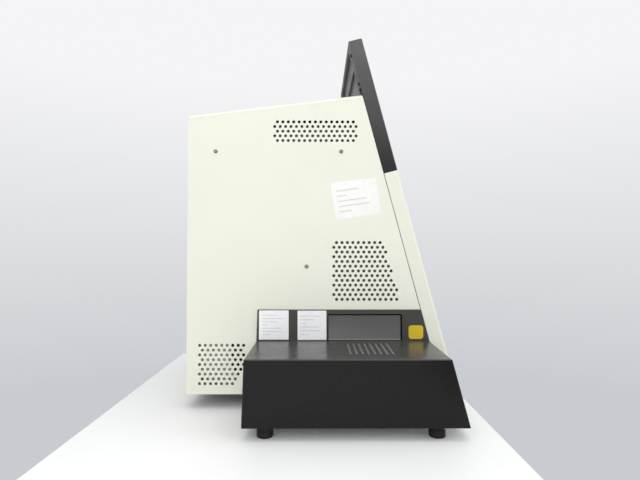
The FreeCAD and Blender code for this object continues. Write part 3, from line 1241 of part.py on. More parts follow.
NODES = {
    "left_side_panel": left_side_panel,
    "right_side_panel": right_side_panel,
    "top_cover": top_cover,
    "rear_panel": rear_panel,
    "base_pan": base_pan,
    "front_frame": front_frame,
    "left_bulkhead": left_bulkhead,
    "right_bulkhead": right_bulkhead,
    "mid_deck": mid_deck,
    "front_fascia": front_fascia,
    "front_bezel": front_bezel,
    "bezel_back_cover": bezel_back_cover,
    "bezel_screws": bezel_screws,
    "chip_door": chip_door,
    "door_pins": door_pins,
    "door_button": door_button,
    "button_housing": button_housing,
    "status_lights": status_lights,
    "bay_liner": bay_liner,
    "thermal_block": thermal_block,
    "chip_tray": chip_tray,
    "lid_bracket": lid_bracket,
    "lid_pin": lid_pin,
    "cartridge_lid": cartridge_lid,
    "electrode_pins": electrode_pins,
    "optics_block": optics_block,
    "objective_barrel": objective_barrel,
    "objective_lens": objective_lens,
    "side_housing": side_housing,
    "side_base_plate": side_base_plate,
    "vent_screen": vent_screen,
    "unit_feet": unit_feet,
    "body_feet": body_feet,
    "plate_flap": plate_flap,
    "flap_pin": flap_pin,
    "rail_base": rail_base,
    "slide_rails": slide_rails,
    "nest_carriage": nest_carriage,
    "carriage_screws": carriage_screws,
    "plate_nest": plate_nest,
    "drive_pulley": drive_pulley,
    "idler_pulley": idler_pulley,
    "idler_pin": idler_pin,
    "drive_belt": drive_belt,
    "drive_motor": drive_motor,
    "fan_frame": fan_frame,
    "fan_rotor": fan_rotor,
    "fan_guard": fan_guard,
    "fan_screws": fan_screws,
    "power_inlet": power_inlet,
    "inlet_pins": inlet_pins,
    "power_rocker": power_rocker,
    "data_ports": data_ports,
    "port_board": port_board,
    "power_supply": power_supply,
    "circuit_board": circuit_board,
    "board_components": board_components,
    "side_screws": side_screws,
    "rear_screws": rear_screws,
}

os.makedirs("parts", exist_ok=True)
for name, build in NODES.items():
    build().exportStep(f"parts/{name}.step")
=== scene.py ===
import math

import bmesh
import bpy
from mathutils import Matrix, Vector


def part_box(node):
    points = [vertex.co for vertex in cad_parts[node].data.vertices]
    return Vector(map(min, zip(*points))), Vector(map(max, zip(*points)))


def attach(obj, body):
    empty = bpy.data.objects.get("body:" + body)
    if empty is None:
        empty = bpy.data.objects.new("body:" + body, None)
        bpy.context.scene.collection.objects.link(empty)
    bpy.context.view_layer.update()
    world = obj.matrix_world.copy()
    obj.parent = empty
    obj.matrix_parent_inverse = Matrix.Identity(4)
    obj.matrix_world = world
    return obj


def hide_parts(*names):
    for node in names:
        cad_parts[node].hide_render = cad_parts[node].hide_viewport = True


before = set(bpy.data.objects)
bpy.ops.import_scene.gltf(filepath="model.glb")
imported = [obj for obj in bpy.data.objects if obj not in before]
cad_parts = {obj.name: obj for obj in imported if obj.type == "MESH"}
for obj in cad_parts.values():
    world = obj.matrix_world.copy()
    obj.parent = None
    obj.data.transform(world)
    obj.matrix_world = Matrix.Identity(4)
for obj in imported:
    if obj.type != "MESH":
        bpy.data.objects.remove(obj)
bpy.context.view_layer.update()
ROOT = "instrument"
MM = 0.001

# Places read from the frame, in metres; the front faces -Y, the plate loader stands on -X
PANEL_LOW, PANEL_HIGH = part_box("left_side_panel")
FLAP_LOW, FLAP_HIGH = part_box("plate_flap")
SCREEN_LOW, SCREEN_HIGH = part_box("vent_screen")
GUARD_LOW, GUARD_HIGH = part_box("fan_guard")
SHEET = 2 * MM
X_LEFT = PANEL_LOW.x
X_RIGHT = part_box("right_side_panel")[1].x
REAR_Y = PANEL_HIGH.y
BODY_BOTTOM = PANEL_LOW.z

# Sheet cover sizes
BODY_DEPTH = 474.7 * MM
REAR_HEIGHT = 517.8 * MM
FRONT_SLOPE, TOP_SLOPE = math.radians(14.9), math.radians(6.94)
TAN_FRONT, TAN_TOP = math.tan(FRONT_SLOPE), math.tan(TOP_SLOPE)
COS_TOP = math.cos(TOP_SLOPE)
COS_FRONT, SIN_FRONT = math.cos(FRONT_SLOPE), math.sin(FRONT_SLOPE)
TOP_BEND_R = 8 * MM
TOP_FLANGE = 10 * MM
BEND_STEPS = 10
PANEL_EASE = 0.25 * MM
REAR_TOP = BODY_BOTTOM + REAR_HEIGHT
SEAM_Y = REAR_Y - BODY_DEPTH
TOP_MEETING = 1 + TAN_TOP * TAN_FRONT
TOP_CORNER_Z = (REAR_TOP + (BODY_DEPTH + BODY_BOTTOM * TAN_FRONT) * TAN_TOP) / TOP_MEETING

# Vent fields, insets from the rear and lifts from the bottom
VENT_R = 2.85 * MM
VENT_PITCH = 10.13 * MM
VENT_ROW = 8.77 * MM
VENT_SIDES = 20
TOP_VENT_INSET, TOP_VENT_DROP, TOP_VENT_ROWS, TOP_VENT_COUNT = 161.7 * MM, 12.8 * MM, 5, 15
FRONT_VENT_INSET, FRONT_VENT_LIFT, FRONT_VENT_ROWS = 277.0 * MM, 279.2 * MM, 13
FRONT_VENT_MARGIN = 34.8 * MM
REAR_VENT_INSET, REAR_VENT_LIFT, REAR_VENT_ROWS, REAR_VENT_COUNT = 24.4 * MM, 89.5 * MM, 9, 9
REAR_VENT_FULL_ROWS = 5
WINDOW_LOW = (-151.6 * MM, 122.8 * MM)
WINDOW_HIGH = (-10.3 * MM, 175.6 * MM)
SEAM_GAP = 1.2 * MM

# Shelf of the plate loader and its slots
SHELF_Z = 124.9 * MM
SLOT_COUNT, SLOT_PITCH, SLOT_W = 8, 9.9 * MM, 4.6 * MM
SLOT_NEAR, SLOT_FAR = X_LEFT - 18.8 * MM, X_LEFT - 112.9 * MM
SLOT_END_GAP, SLOT_SIDE_GAP = 0.3 * MM, 0.25 * MM
SCREEN_DROP = 0.6 * MM
COARSE_PITCH, COARSE_R = 2.2 * MM, 0.45 * MM
FINE_PITCH, FINE_R = 1.3 * MM, 0.42 * MM
WIRE_SIDES = 6

# Plate flap and its rolled lip
FLAP_Y1 = -13.75 * MM
FLAP_DROP, FLAP_RISE = 0.3 * MM, 0.8 * MM
FLAP_EASE = 0.5 * MM
LIP_PROFILE = ((0, 3 * MM), (0.5 * MM, 2.2 * MM), (0.9 * MM, 1.3 * MM), (0.7 * MM, 0.4 * MM),
               (0, 0))

# Screws
HEAD_R, HEAD_T = 3.75 * MM, 2.2 * MM
SOCKET_R, SOCKET_DEPTH = 1.7 * MM, 1.3 * MM
NEST_SCREW_R, NEST_SCREW_H = 3 * MM, 1.6 * MM
SIDE_SCREWS = ((51.9 * MM, 449.3 * MM), (285.8 * MM, 449.3 * MM), (221.4 * MM, 235.1 * MM))

# Rear openings, (across, up) on the rear panel
FAN_PLACE, FAN_BORE_R = (10 * MM, 400 * MM), 43.5 * MM
INLET_PLACE, INLET_HOLE = (165 * MM, 90 * MM), (40 * MM, 50 * MM)
PORT_HOLES = ((103 * MM, 16.6 * MM, 14.1 * MM), (73 * MM, 12.6 * MM, 11.2 * MM))
REAR_FLANGES, REAR_FLANGE_Z = (-61.9 * MM, 205.1 * MM), (50 * MM, 436.7 * MM)
REAR_CORNER = ((0, 3.8 * MM), (0.7 * MM, 1.6 * MM), (1.6 * MM, 0))
BORE_SIDES = 64

# Fan: hub profiles as (radius, height), arms, blades and guard
FAN_CORNER_CUT = 5 * MM
SPIDER_PROFILE = ((0, 0), (16.4, 0), (17, 0.6), (17, 4), (2.5, 4), (2.5, 19), (0, 19))
ARM_COUNT, ARM_HALF_W, ARM_T, ARM_OVERLAP = 3, 3 * MM, 4 * MM, 1 * MM
HUB_R, HUB_SIDES = 17 * MM, 48
BLADE_COUNT, BLADE_STEPS = 7, 6
BLADE_R, BLADE_REACH = 16 * MM, 25.5 * MM
BLADE_CHORD, BLADE_CHORD_GAIN = 15 * MM, 6 * MM
BLADE_PITCH, BLADE_PITCH_LOSS, BLADE_SWEEP = 50, 16, 0.4
BLADE_BOW, BLADE_EDGE, BLADE_SWELL = 1.6 * MM, 0.35 * MM, 0.45 * MM
BLADE_SET_BACK = 0.8 * MM
GUARD_RINGS, GUARD_WIRE_R = (13 * MM, 23 * MM, 33 * MM, 43 * MM), 1.0 * MM
GUARD_REACH, GUARD_STAY_START = 41.25 * MM, 8 * MM
WASHER_R, WASHER_T = 4 * MM, 1.2 * MM
GUARD_SCREW_R, GUARD_SCREW_H = 3 * MM, 1.8 * MM

# Door button, (radius, height) in millimetres from its face
BUTTON_PROFILE = ((0, -14.1), (2, -14.1), (2, -6.4), (8.2, -6.4), (8.2, -4.9), (7, -4.9), (7, -0.8),
                  (6.7, -0.25), (6.2, 0), (5.4, 0), (4.5, -0.25), (0, -0.7))

# Feet
LOADER_FOOT_R, CABINET_FOOT_R, FOOT_EASE, FOOT_DISH = 13 * MM, 15 * MM, 1.5 * MM, 2 * MM

# Stickers, corners as (y, z) on the face that carries them
FILM_T, RISER_T, CORNER_STEPS = 0.15 * MM, 3 * MM, 6
REAR_LABEL_PLACE = (59.5 * MM, 114 * MM, 127 * MM, 180.5 * MM)
FRONT_LABEL_PLACE = (-10 * MM, 43 * MM, 126.5 * MM, 180 * MM)
PATCH_PLACE, PATCH_R = (-188.5 * MM, -161.5 * MM, 128 * MM, 153 * MM), 6 * MM
SIDE_LABEL_CORNERS = ((-28.2 * MM, 347.0 * MM), (-17.5 * MM, 417.3 * MM), (-102.4 * MM, 426.3 * MM),
                      (-111.5 * MM, 361.1 * MM))

# Table, wall and lamps
TABLE_LOW, TABLE_HIGH, TABLE_EASE = Vector((-1.9, -0.283, -0.03)), Vector((0.377, 0.39, 0)), 4 * MM
WALL_SPAN = (-0.25, 0.35)
# The wall seen by the camera is a painted backdrop that darkens towards the bottom: painted shade
# on the wall.
WALL_LOW, WALL_HIGH = (0.58, 0.60, 0.63, 1), (0.91, 0.91, 0.93, 1)
SKY_COLOUR, SKY_STRENGTH = (0.95, 0.97, 1.0, 1), 0.62
LAMPS = (("key_light", (-1.9, 0.4, 1.05), (0, 0, 0.22), (1.6, 1.4), 13.8),
         ("top_light", (-0.55, -0.05, 2.2), (-0.2, 0, 0.1), (1.8, 1.8), 14.5),
         ("front_light", (-0.6, -2.0, 1.0), (0, 0, 0.3), (1.4, 1.2), 11))

# Camera as in the photograph
CAMERA_PLACE = Vector((-911.3 * MM, 5.1 * MM, 289.3 * MM))
CAMERA_PITCH = math.radians(1.443)
CAMERA_YAW = math.radians(0.231)
CAMERA_LENS = 25.3125


# Node helpers
class Look:
    def __init__(self, name):
        self.material = bpy.data.materials.new(name)
        self.material.use_nodes = True
        self.tree = self.material.node_tree
        self.shader = self.tree.nodes["Principled BSDF"]
        self.coordinates = self.tree.nodes.new("ShaderNodeTexCoord")

    def node(self, kind, **values):
        made = self.tree.nodes.new(kind)
        for key, value in values.items():
            setattr(made, key, value)
        return made

    def link(self, source, target):
        self.tree.links.new(source, target)

    def set(self, **values):
        for key, value in values.items():
            self.shader.inputs[key.replace("_", " ")].default_value = value

    def noise(self, scale, detail=4.0, roughness=0.5, stretch=(1, 1, 1)):
        mapping = self.node("ShaderNodeMapping")
        mapping.inputs["Scale"].default_value = stretch
        self.link(self.coordinates.outputs["Object"], mapping.inputs["Vector"])
        made = self.node("ShaderNodeTexNoise")
        made.inputs["Scale"].default_value = scale
        made.inputs["Detail"].default_value = detail
        made.inputs["Roughness"].default_value = roughness
        self.link(mapping.outputs["Vector"], made.inputs["Vector"])
        return made.outputs["Fac"]

    def ramp(self, value, low, high, start=0.3, end=0.7):
        made = self.node("ShaderNodeValToRGB")
        made.color_ramp.elements[0].position = start
        made.color_ramp.elements[0].color = (*low, 1)
        made.color_ramp.elements[1].position = end
        made.color_ramp.elements[1].color = (*high, 1)
        self.link(value, made.inputs["Fac"])
        return made.outputs["Color"]

    def span(self, value, low, high):
        made = self.node("ShaderNodeMapRange")
        made.inputs["From Min"].default_value = 0.3
        made.inputs["From Max"].default_value = 0.7
        made.inputs["To Min"].default_value = low
        made.inputs["To Max"].default_value = high
        self.link(value, made.inputs["Value"])
        return made.outputs["Result"]

    def along(self, axis, start, end):
        """0 to 1 between two places along an axis of the object."""
        place = self.node("ShaderNodeSeparateXYZ")
        self.link(self.coordinates.outputs["Object"], place.inputs["Vector"])
        made = self.node("ShaderNodeMapRange")
        made.inputs["From Min"].default_value = start
        made.inputs["From Max"].default_value = end
        self.link(place.outputs[axis], made.inputs["Value"])
        return made.outputs["Result"]

    def sum(self, operation, first, second):
        made = self.node("ShaderNodeMath", operation=operation)
        for target, value in zip(made.inputs, (first, second)):
            if isinstance(value, float):
                target.default_value = value
            elif value is not None:
                self.link(value, target)
        return made.outputs["Value"]

    def blend(self, share, first, second):
        made = self.node("ShaderNodeMix", data_type="RGBA")
        self.link(share, made.inputs["Factor"])
        self.link(first, made.inputs[6])
        self.link(second, made.inputs[7])
        return made.outputs[2]

    def edges(self, radius):
        bevel = self.node("ShaderNodeBevel", samples=4)
        bevel.inputs["Radius"].default_value = radius
        geometry = self.node("ShaderNodeNewGeometry")
        turn = self.node("ShaderNodeVectorMath", operation="DOT_PRODUCT")
        self.link(bevel.outputs["Normal"], turn.inputs[0])
        self.link(geometry.outputs["Normal"], turn.inputs[1])
        made = self.node("ShaderNodeMapRange")
        made.inputs["From Min"].default_value = 0.99
        made.inputs["From Max"].default_value = 0.80
        self.link(turn.outputs["Value"], made.inputs["Value"])
        return made.outputs["Result"]

    def bump(self, height, distance, strength=1.0, soften=0.0):
        made = self.node("ShaderNodeBump")
        made.inputs["Strength"].default_value = strength
        made.inputs["Distance"].default_value = distance
        self.link(height, made.inputs["Height"])
        if soften:
            bevel = self.node("ShaderNodeBevel", samples=4)
            bevel.inputs["Radius"].default_value = soften
            self.link(bevel.outputs["Normal"], made.inputs["Normal"])
        self.link(made.outputs["Normal"], self.shader.inputs["Normal"])

    def colour(self, value):
        self.link(value, self.shader.inputs["Base Color"])

    def roughness(self, value):
        self.link(value, self.shader.inputs["Roughness"])


def shade(colour, share):
    return tuple(channel * share for channel in colour)


def powder_coat(name, colour):
    look = Look(name)
    broad = look.noise(6.0, 3.0)
    tone = look.ramp(broad, shade(colour, 0.965), colour)
    # Edges blend to their own tone; here the painted edge highlight is set down below the face
    # colour, so it reads as rubbed wear.
    edge_wear_and_highlight = look.ramp(look.noise(60.0), shade(colour, 0.8), shade(colour, 0.98))
    look.colour(look.blend(look.edges(0.8 * MM), tone, edge_wear_and_highlight))
    look.roughness(look.span(look.noise(40.0), 0.42, 0.56))
    look.bump(look.noise(900.0, 2.0), 0.06 * MM, 0.5, soften=0.6 * MM)
    look.set(Specular_IOR_Level=0.4)
    return look.material


def moulded(name, colour, edge_wear_and_highlight, roughness=(0.42, 0.58), grain=1400.0, depth=0.05, fade=None,
            gloss=0.5, mottle=0.12, coat=0.0):
    """Moulded plastic; fade is (axis, start, end, colour at the end) where the tone changes."""
    look = Look(name)
    tone = look.ramp(look.noise(9.0, 5.0), shade(colour, 1 - mottle),
                     shade(colour, 1 + mottle * 0.7))
    if fade:
        axis, start, end, other = fade
        far = look.ramp(look.noise(14.0, 5.0), shade(other, 0.88), shade(other, 1.08))
        tone = look.blend(look.along(axis, start, end), tone, far)
    # Edges blend to a lighter tone: a painted highlight along the edges, partly rubbed wear.
    fine = look.ramp(look.noise(420.0, 2.0), shade(edge_wear_and_highlight, 0.8), edge_wear_and_highlight)
    look.colour(look.blend(look.edges(0.7 * MM), tone, fine))
    look.roughness(look.span(look.noise(30.0, 1.0), *roughness))
    look.bump(look.noise(grain, 2.0, 0.6), depth * MM, 0.7, soften=0.7 * MM)
    look.set(Specular_IOR_Level=gloss, Coat_Weight=coat, Coat_Roughness=0.22)
    return look.material


def metal(name, colour, roughness, stretch=(1, 1, 1), scale=120.0, bright=1.08):
    look = Look(name)
    streak = look.noise(scale, 5.0, 0.6, stretch)
    look.colour(look.ramp(streak, shade(colour, 0.82), shade(colour, bright)))
    look.roughness(look.span(look.noise(scale / 3, 4.0, 0.6, stretch), *roughness))
    look.bump(streak, 0.02 * MM, 0.5, soften=0.25 * MM)
    look.set(Metallic=1.0)
    return look.material


def zinc(name):
    look = Look(name)
    cells = look.node("ShaderNodeTexVoronoi")
    cells.inputs["Scale"].default_value = 240.0
    look.link(look.coordinates.outputs["Object"], cells.inputs["Vector"])
    look.colour(look.ramp(cells.outputs["Distance"], (0.34, 0.355, 0.36), (0.42, 0.43, 0.43)))
    look.roughness(look.span(look.noise(260.0), 0.46, 0.56))
    look.bump(look.noise(400.0), 0.02 * MM, 0.4)
    look.set(Metallic=0.9)
    return look.material


def rubber(name):
    look = Look(name)
    look.colour(look.ramp(look.noise(60.0), (0.007, 0.007, 0.0075), (0.014, 0.0135, 0.0135)))
    look.roughness(look.span(look.noise(90.0), 0.62, 0.8))
    look.bump(look.noise(1600.0, 2.0), 0.05 * MM, 0.5)
    look.set(Specular_IOR_Level=0.3)
    return look.material


def clear_glass(name):
    look = Look(name)
    look.roughness(look.span(look.noise(80.0), 0.0, 0.04))
    look.colour(look.ramp(look.noise(20.0), (0.90, 0.94, 0.95), (0.96, 0.98, 0.98)))
    look.set(Transmission_Weight=1.0, IOR=1.52)
    return look.material


def smoked_window(name):
    look = Look(name)
    look.colour(look.ramp(look.noise(30.0), (0.02, 0.022, 0.024), (0.04, 0.042, 0.044)))
    look.roughness(look.span(look.noise(120.0), 0.06, 0.14))
    look.set(Coat_Weight=0.6, Coat_Roughness=0.05)
    return look.material


def board_green(name):
    look = Look(name)
    tracks = look.node("ShaderNodeTexBrick")
    tracks.inputs["Scale"].default_value = 160.0
    tracks.inputs["Mortar Size"].default_value = 0.04
    tracks.inputs["Color1"].default_value = (0.012, 0.09, 0.045, 1)
    tracks.inputs["Color2"].default_value = (0.014, 0.11, 0.055, 1)
    tracks.inputs["Mortar"].default_value = (0.03, 0.17, 0.08, 1)
    turned = look.node("ShaderNodeMapping")
    turned.inputs["Rotation"].default_value = (0, math.pi / 2, 0)
    look.link(look.coordinates.outputs["Object"], turned.inputs["Vector"])
    look.link(turned.outputs["Vector"], tracks.inputs["Vector"])
    look.colour(tracks.outputs["Color"])
    look.roughness(look.span(look.noise(60.0), 0.25, 0.4))
    look.bump(tracks.outputs["Fac"], 0.03 * MM, 0.3)
    return look.material


def paper(name, colour, corner=None, size=None, tilt=0.0, rows=9.0):
    """A sticker: slightly uneven film; where corner and size are given, with faint ruled lines."""
    look = Look(name)
    tone = look.ramp(look.noise(90.0), shade(colour, 0.95), colour)
    if corner:
        local = look.node("ShaderNodeMapping", vector_type="TEXTURE")
        local.inputs["Location"].default_value = (0, *corner)
        local.inputs["Rotation"].default_value = (tilt, 0, 0)
        local.inputs["Scale"].default_value = (1, -size[0], size[1])
        look.link(look.coordinates.outputs["Object"], local.inputs["Vector"])
        place = look.node("ShaderNodeSeparateXYZ")
        look.link(local.outputs["Vector"], place.inputs["Vector"])
        scaled = look.sum("MULTIPLY", place.outputs["Z"], rows)
        chance = look.node("ShaderNodeTexWhiteNoise", noise_dimensions="1D")
        look.link(look.sum("FLOOR", scaled, None), chance.inputs["W"])
        length = look.sum("ADD", look.sum("MULTIPLY", chance.outputs["Value"], 0.55), 0.3)
        line = look.sum("LESS_THAN", look.sum("ABSOLUTE", look.sum("SUBTRACT", look.sum(
            "FRACT", scaled, None), 0.5), None), 0.13)
        reach = look.sum("MULTIPLY", look.sum("LESS_THAN", place.outputs["Y"], length),
                         look.sum("GREATER_THAN", place.outputs["Y"], 0.1))
        clear = look.sum("MULTIPLY", look.sum("GREATER_THAN", place.outputs["Z"], 0.1),
                         look.sum("LESS_THAN", place.outputs["Z"], 0.9))
        mask = look.sum("MULTIPLY", line, look.sum("MULTIPLY", reach, clear))
        faint = look.ramp(look.noise(200.0), shade(colour, 0.70), shade(colour, 0.80))
        tone = look.blend(mask, tone, faint)
    look.colour(tone)
    look.roughness(look.span(look.noise(70.0), 0.3, 0.45))
    look.bump(look.noise(300.0), 0.02 * MM, 0.4)
    look.set(Coat_Weight=0.15, Coat_Roughness=0.25)
    return look.material


CREAM = (0.82, 0.83, 0.71)
CREAM_LIGHT = (0.80, 0.81, 0.69)
BLACK = (0.0018, 0.0016, 0.0020)
GREY = (0.012, 0.0115, 0.0115)
RISER_GREY = (0.058, 0.056, 0.052)
FLAP_GREY = (0.094, 0.091, 0.088)
# Painted highlight on the flap's lower lip
LIP_PAINTED_HIGHLIGHT = (0.22, 0.22, 0.215)
# Lighter grey painted on the upper front bezel, standing in for light from above
BEZEL_PAINTED_LIGHT_GREY = (0.098, 0.099, 0.094)
LABEL_WHITE = (0.98, 0.98, 0.98)

MATERIALS = {
    "cream_paint": powder_coat("cream_paint", CREAM),
    "cream_plastic": moulded("cream_plastic", CREAM_LIGHT, (0.84, 0.85, 0.76), depth=0.04,
                             mottle=0.02),
    "black_plastic": moulded("black_plastic", BLACK, (0.075, 0.073, 0.072)),
    "grey_plastic": moulded("grey_plastic", GREY, (0.14, 0.135, 0.13)),
    "zinc_steel": zinc("zinc_steel"),
    "steel": metal("steel", (0.56, 0.56, 0.57), (0.22, 0.38)),
    "dark_steel": metal("dark_steel", (0.05, 0.05, 0.055), (0.38, 0.55)),
    "aluminium": metal("aluminium", (0.72, 0.73, 0.74), (0.26, 0.42), (1, 30, 30), 60.0),
    "anodised": metal("anodised", (0.035, 0.035, 0.04), (0.35, 0.5), (1, 20, 20), 60.0),
    "rubber": rubber("rubber"),
    "glass": clear_glass("glass"),
    "board": board_green("board"),
    "brass": metal("brass", (0.70, 0.52, 0.24), (0.2, 0.32)),
    "window": smoked_window("window"),
    "platinum": metal("platinum", (0.72, 0.71, 0.69), (0.14, 0.24)),
}
NODE_LOOKS = {
    "side_housing": moulded("loader_shell", BLACK, (0.03, 0.029, 0.029), (0.25, 0.34), depth=0.01,
                            gloss=0.12, coat=0.3,
                            fade=("Z", SHELF_Z - 1.8 * MM, SHELF_Z - 0.8 * MM, RISER_GREY)),
    "flap_pin": MATERIALS["dark_steel"],
    # The rear part of the bulkhead, seen through the rear vents, is a pale cream: painted light
    # standing in for light coming in through the vents.
    "left_bulkhead": moulded("bulkhead_painted_light", (0.22, 0.22, 0.215), (0.4, 0.4, 0.39), (0.5, 0.62),
                             fade=("Y", REAR_Y - 92 * MM, REAR_Y - 88 * MM, (0.74, 0.73, 0.66)),
                             mottle=0.05),
    "base_pan": metal("pan_steel", (0.12, 0.12, 0.122), (0.45, 0.6)),
    "front_frame": powder_coat("frame_coat", (0.045, 0.045, 0.047)),
    # The front bezel turns to a lighter grey towards its top: painted light for light falling from
    # above on its rounded face.
    "front_bezel": moulded("bezel_plastic", GREY, (0.1, 0.1, 0.098), (0.42, 0.56), gloss=0.27,
                           fade=("Z", 0.45, 0.66, BEZEL_PAINTED_LIGHT_GREY)),
    # The bezel back cover is a lighter grey than the bezel: painted light for light from the bright
    # wall behind falling on it.
    "bezel_back_cover": moulded("bezel_back_painted_light", (0.13, 0.13, 0.131), (0.2, 0.2, 0.2),
                                gloss=0.4),
    "chip_door": moulded("door_plastic", (0.018, 0.018, 0.019), (0.08, 0.08, 0.08), (0.24, 0.34),
                         depth=0.015),
    "status_lights": moulded("light_window", (0.16, 0.18, 0.18), (0.3, 0.3, 0.3), (0.1, 0.18),
                             depth=0.005),
}
# The flap's lower lip is a lighter grey: a painted highlight where the lip would catch light from
# above.
FLAP_PLASTIC = moulded("flap_plastic", FLAP_GREY, (0.34, 0.335, 0.33), (0.35, 0.5), gloss=0.4,
                       fade=("Z", FLAP_LOW.z + 2.6 * MM, FLAP_LOW.z + 1.4 * MM, LIP_PAINTED_HIGHLIGHT))
SCREW_STEEL = metal("screw_steel", (0.26, 0.255, 0.25), (0.42, 0.56))
REAR_LABEL = paper("rear_label_film", LABEL_WHITE, (REAR_LABEL_PLACE[1], REAR_LABEL_PLACE[2]),
                   (54.5 * MM, 53.5 * MM))
FRONT_LABEL = paper("front_label_film", LABEL_WHITE, (FRONT_LABEL_PLACE[1], FRONT_LABEL_PLACE[2]),
                    (53 * MM, 53.5 * MM), rows=8.0)
WIDE_LABEL = paper("wide_label_film", (0.90, 0.90, 0.86), SIDE_LABEL_CORNERS[0],
                   (84 * MM, 68 * MM), math.radians(-8), 7.0)
YELLOW = paper("yellow_film", (0.70, 0.52, 0.015))
BUTTON_PLASTIC = moulded("button_plastic", (0.17, 0.17, 0.165), (0.3, 0.3, 0.29), (0.35, 0.45),
                         depth=0.02)
MESH_WIRE = moulded("screen_wire", (0.27, 0.265, 0.26), (0.34, 0.335, 0.33), (0.45, 0.6),
                    depth=0.01)


# Mesh helpers
def new_piece(name, mesh, material, body=ROOT, smooth=False):
    made = bpy.data.objects.new(name, mesh)
    bpy.context.scene.collection.objects.link(made)
    mesh.materials.clear()
    mesh.materials.append(MATERIALS[material] if isinstance(material, str) else material)
    if smooth:
        mesh.shade_smooth()
        mesh.set_sharp_from_angle(angle=math.radians(35))
    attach(made, body)
    return made


def mesh_of(name, vertices, faces):
    mesh = bpy.data.meshes.new(name)
    mesh.from_pydata([tuple(v) for v in vertices], [], faces)
    mesh.validate()
    built = bmesh.new()
    built.from_mesh(mesh)
    bmesh.ops.recalc_face_normals(built, faces=built.faces)
    built.to_mesh(mesh)
    built.free()
    return mesh


def frame_about(axis):
    axis = Vector(axis).normalized()
    first = axis.orthogonal().normalized()
    return axis, first, axis.cross(first)


def lathe(profile, sides, centre, axis, turn=0.0):
    """Closed ring of faces from (radius, height) points that start and end on the axis."""
    axis, first, second = frame_about(axis)
    vertices, faces, rings = [], [], []
    for radius, height in profile:
        base = Vector(centre) + axis * height
        if radius < 1e-7:
            rings.append([len(vertices)])
            vertices.append(base)
            continue
        ring = []
        for index in range(sides):
            angle = turn + 2 * math.pi * index / sides
            ring.append(len(vertices))
            across, up = first * (radius * math.cos(angle)), second * (radius * math.sin(angle))
            vertices.append(base + across + up)
        rings.append(ring)
    for low, high in zip(rings, rings[1:]):
        for index in range(sides):
            after = (index + 1) % sides
            corners = [low[index % len(low)], low[after % len(low)], high[after % len(high)],
                       high[index % len(high)]]
            face = list(dict.fromkeys(corners))
            if len(face) > 2:
                faces.append(face)
    return vertices, faces


def gathered(parts):
    vertices, faces = [], []
    for part_vertices, part_faces in parts:
        start = len(vertices)
        vertices += part_vertices
        faces += [[start + index for index in face] for face in part_faces]
    return vertices, faces


def tube_along(points, radius, sides, closed=False):
    vertices, faces = [], []
    count = len(points)
    angles = [2 * math.pi * step / sides for step in range(sides)]
    for index, point in enumerate(points):
        before = points[index - 1] if closed or index else points[index]
        after = points[(index + 1) % count] if closed or index < count - 1 else points[index]
        along, side = Vector(after) - Vector(before), Vector((0, 1, 0))
        first = (side - side.project(along)).normalized()
        second = along.normalized().cross(first)
        for angle in angles:
            across, up = first * (radius * math.cos(angle)), second * (radius * math.sin(angle))
            vertices.append(Vector(point) + across + up)
    last = count if closed else count - 1
    for index in range(last):
        for step in range(sides):
            after = (index + 1) % count
            nxt = (step + 1) % sides
            faces.append([index * sides + step, index * sides + nxt, after * sides + nxt,
                          after * sides + step])
    if not closed:
        faces.append(list(range(sides))[::-1])
        faces.append([(count - 1) * sides + step for step in range(sides)])
    return vertices, faces


def prism_faces(count):
    """Faces of a prism whose first count points are one end and the next count the other."""
    faces = [list(range(count)), [count + index for index in range(count)][::-1]]
    for index in range(count):
        after = (index + 1) % count
        faces.append([index, after, count + after, count + index])
    return faces


def box_part(low, high):
    xs, ys, zs = zip(low, high)
    corners = [Vector((x, y, z)) for x in xs for y in ys for z in zs]
    faces = [[0, 1, 3, 2], [4, 6, 7, 5], [0, 4, 5, 1], [2, 3, 7, 6], [0, 2, 6, 4], [1, 5, 7, 3]]
    return corners, faces


# Side cover with round vents
def seam_at(z):
    return SEAM_Y + (z - BODY_BOTTOM) * TAN_FRONT


def top_corner(drop):
    z = TOP_CORNER_Z - drop / COS_TOP / TOP_MEETING
    return seam_at(z), z


def vent_row(y, z, count):
    return [(y - index * VENT_PITCH, z) for index in range(count)]


def vent_places():
    holes = []
    for row in range(TOP_VENT_ROWS):
        extra = row % 2
        y = REAR_Y - TOP_VENT_INSET - (1 - extra) * VENT_PITCH / 2
        holes += vent_row(y, REAR_TOP - TOP_VENT_DROP - row * VENT_ROW, TOP_VENT_COUNT + extra)
    for row in range(FRONT_VENT_ROWS):
        z = BODY_BOTTOM + FRONT_VENT_LIFT - row * VENT_ROW
        y = REAR_Y - FRONT_VENT_INSET + (row % 2) * VENT_PITCH / 2
        holes += vent_row(y, z, int((y - seam_at(z) - FRONT_VENT_MARGIN) / VENT_PITCH) + 1)
    for row in range(REAR_VENT_ROWS):
        shift = row % 2
        y = REAR_Y - REAR_VENT_INSET - shift * VENT_PITCH / 2
        cut = max(0, row + 1 - REAR_VENT_FULL_ROWS)
        count = REAR_VENT_COUNT - (cut + shift + 1) // 2 if cut else REAR_VENT_COUNT - shift
        holes += vent_row(y, BODY_BOTTOM + REAR_VENT_LIFT - row * VENT_ROW, count)
    return holes


def add_spline(curve, points):
    spline = curve.splines.new("POLY")
    spline.points.add(len(points) - 1)
    for target, (y, z) in zip(spline.points, points):
        target.co = (y, z, 0, 1)
    spline.use_cyclic_u = True


def ring_points(across, up, radius, sides):
    turns = [2 * math.pi * index / sides for index in range(sides)]
    return [(across + radius * math.cos(turn), up + radius * math.sin(turn)) for turn in turns]


def rectangle(low_across, high_across, low_up, high_up):
    return [(low_across, low_up), (high_across, low_up),
            (high_across, high_up), (low_across, high_up)]


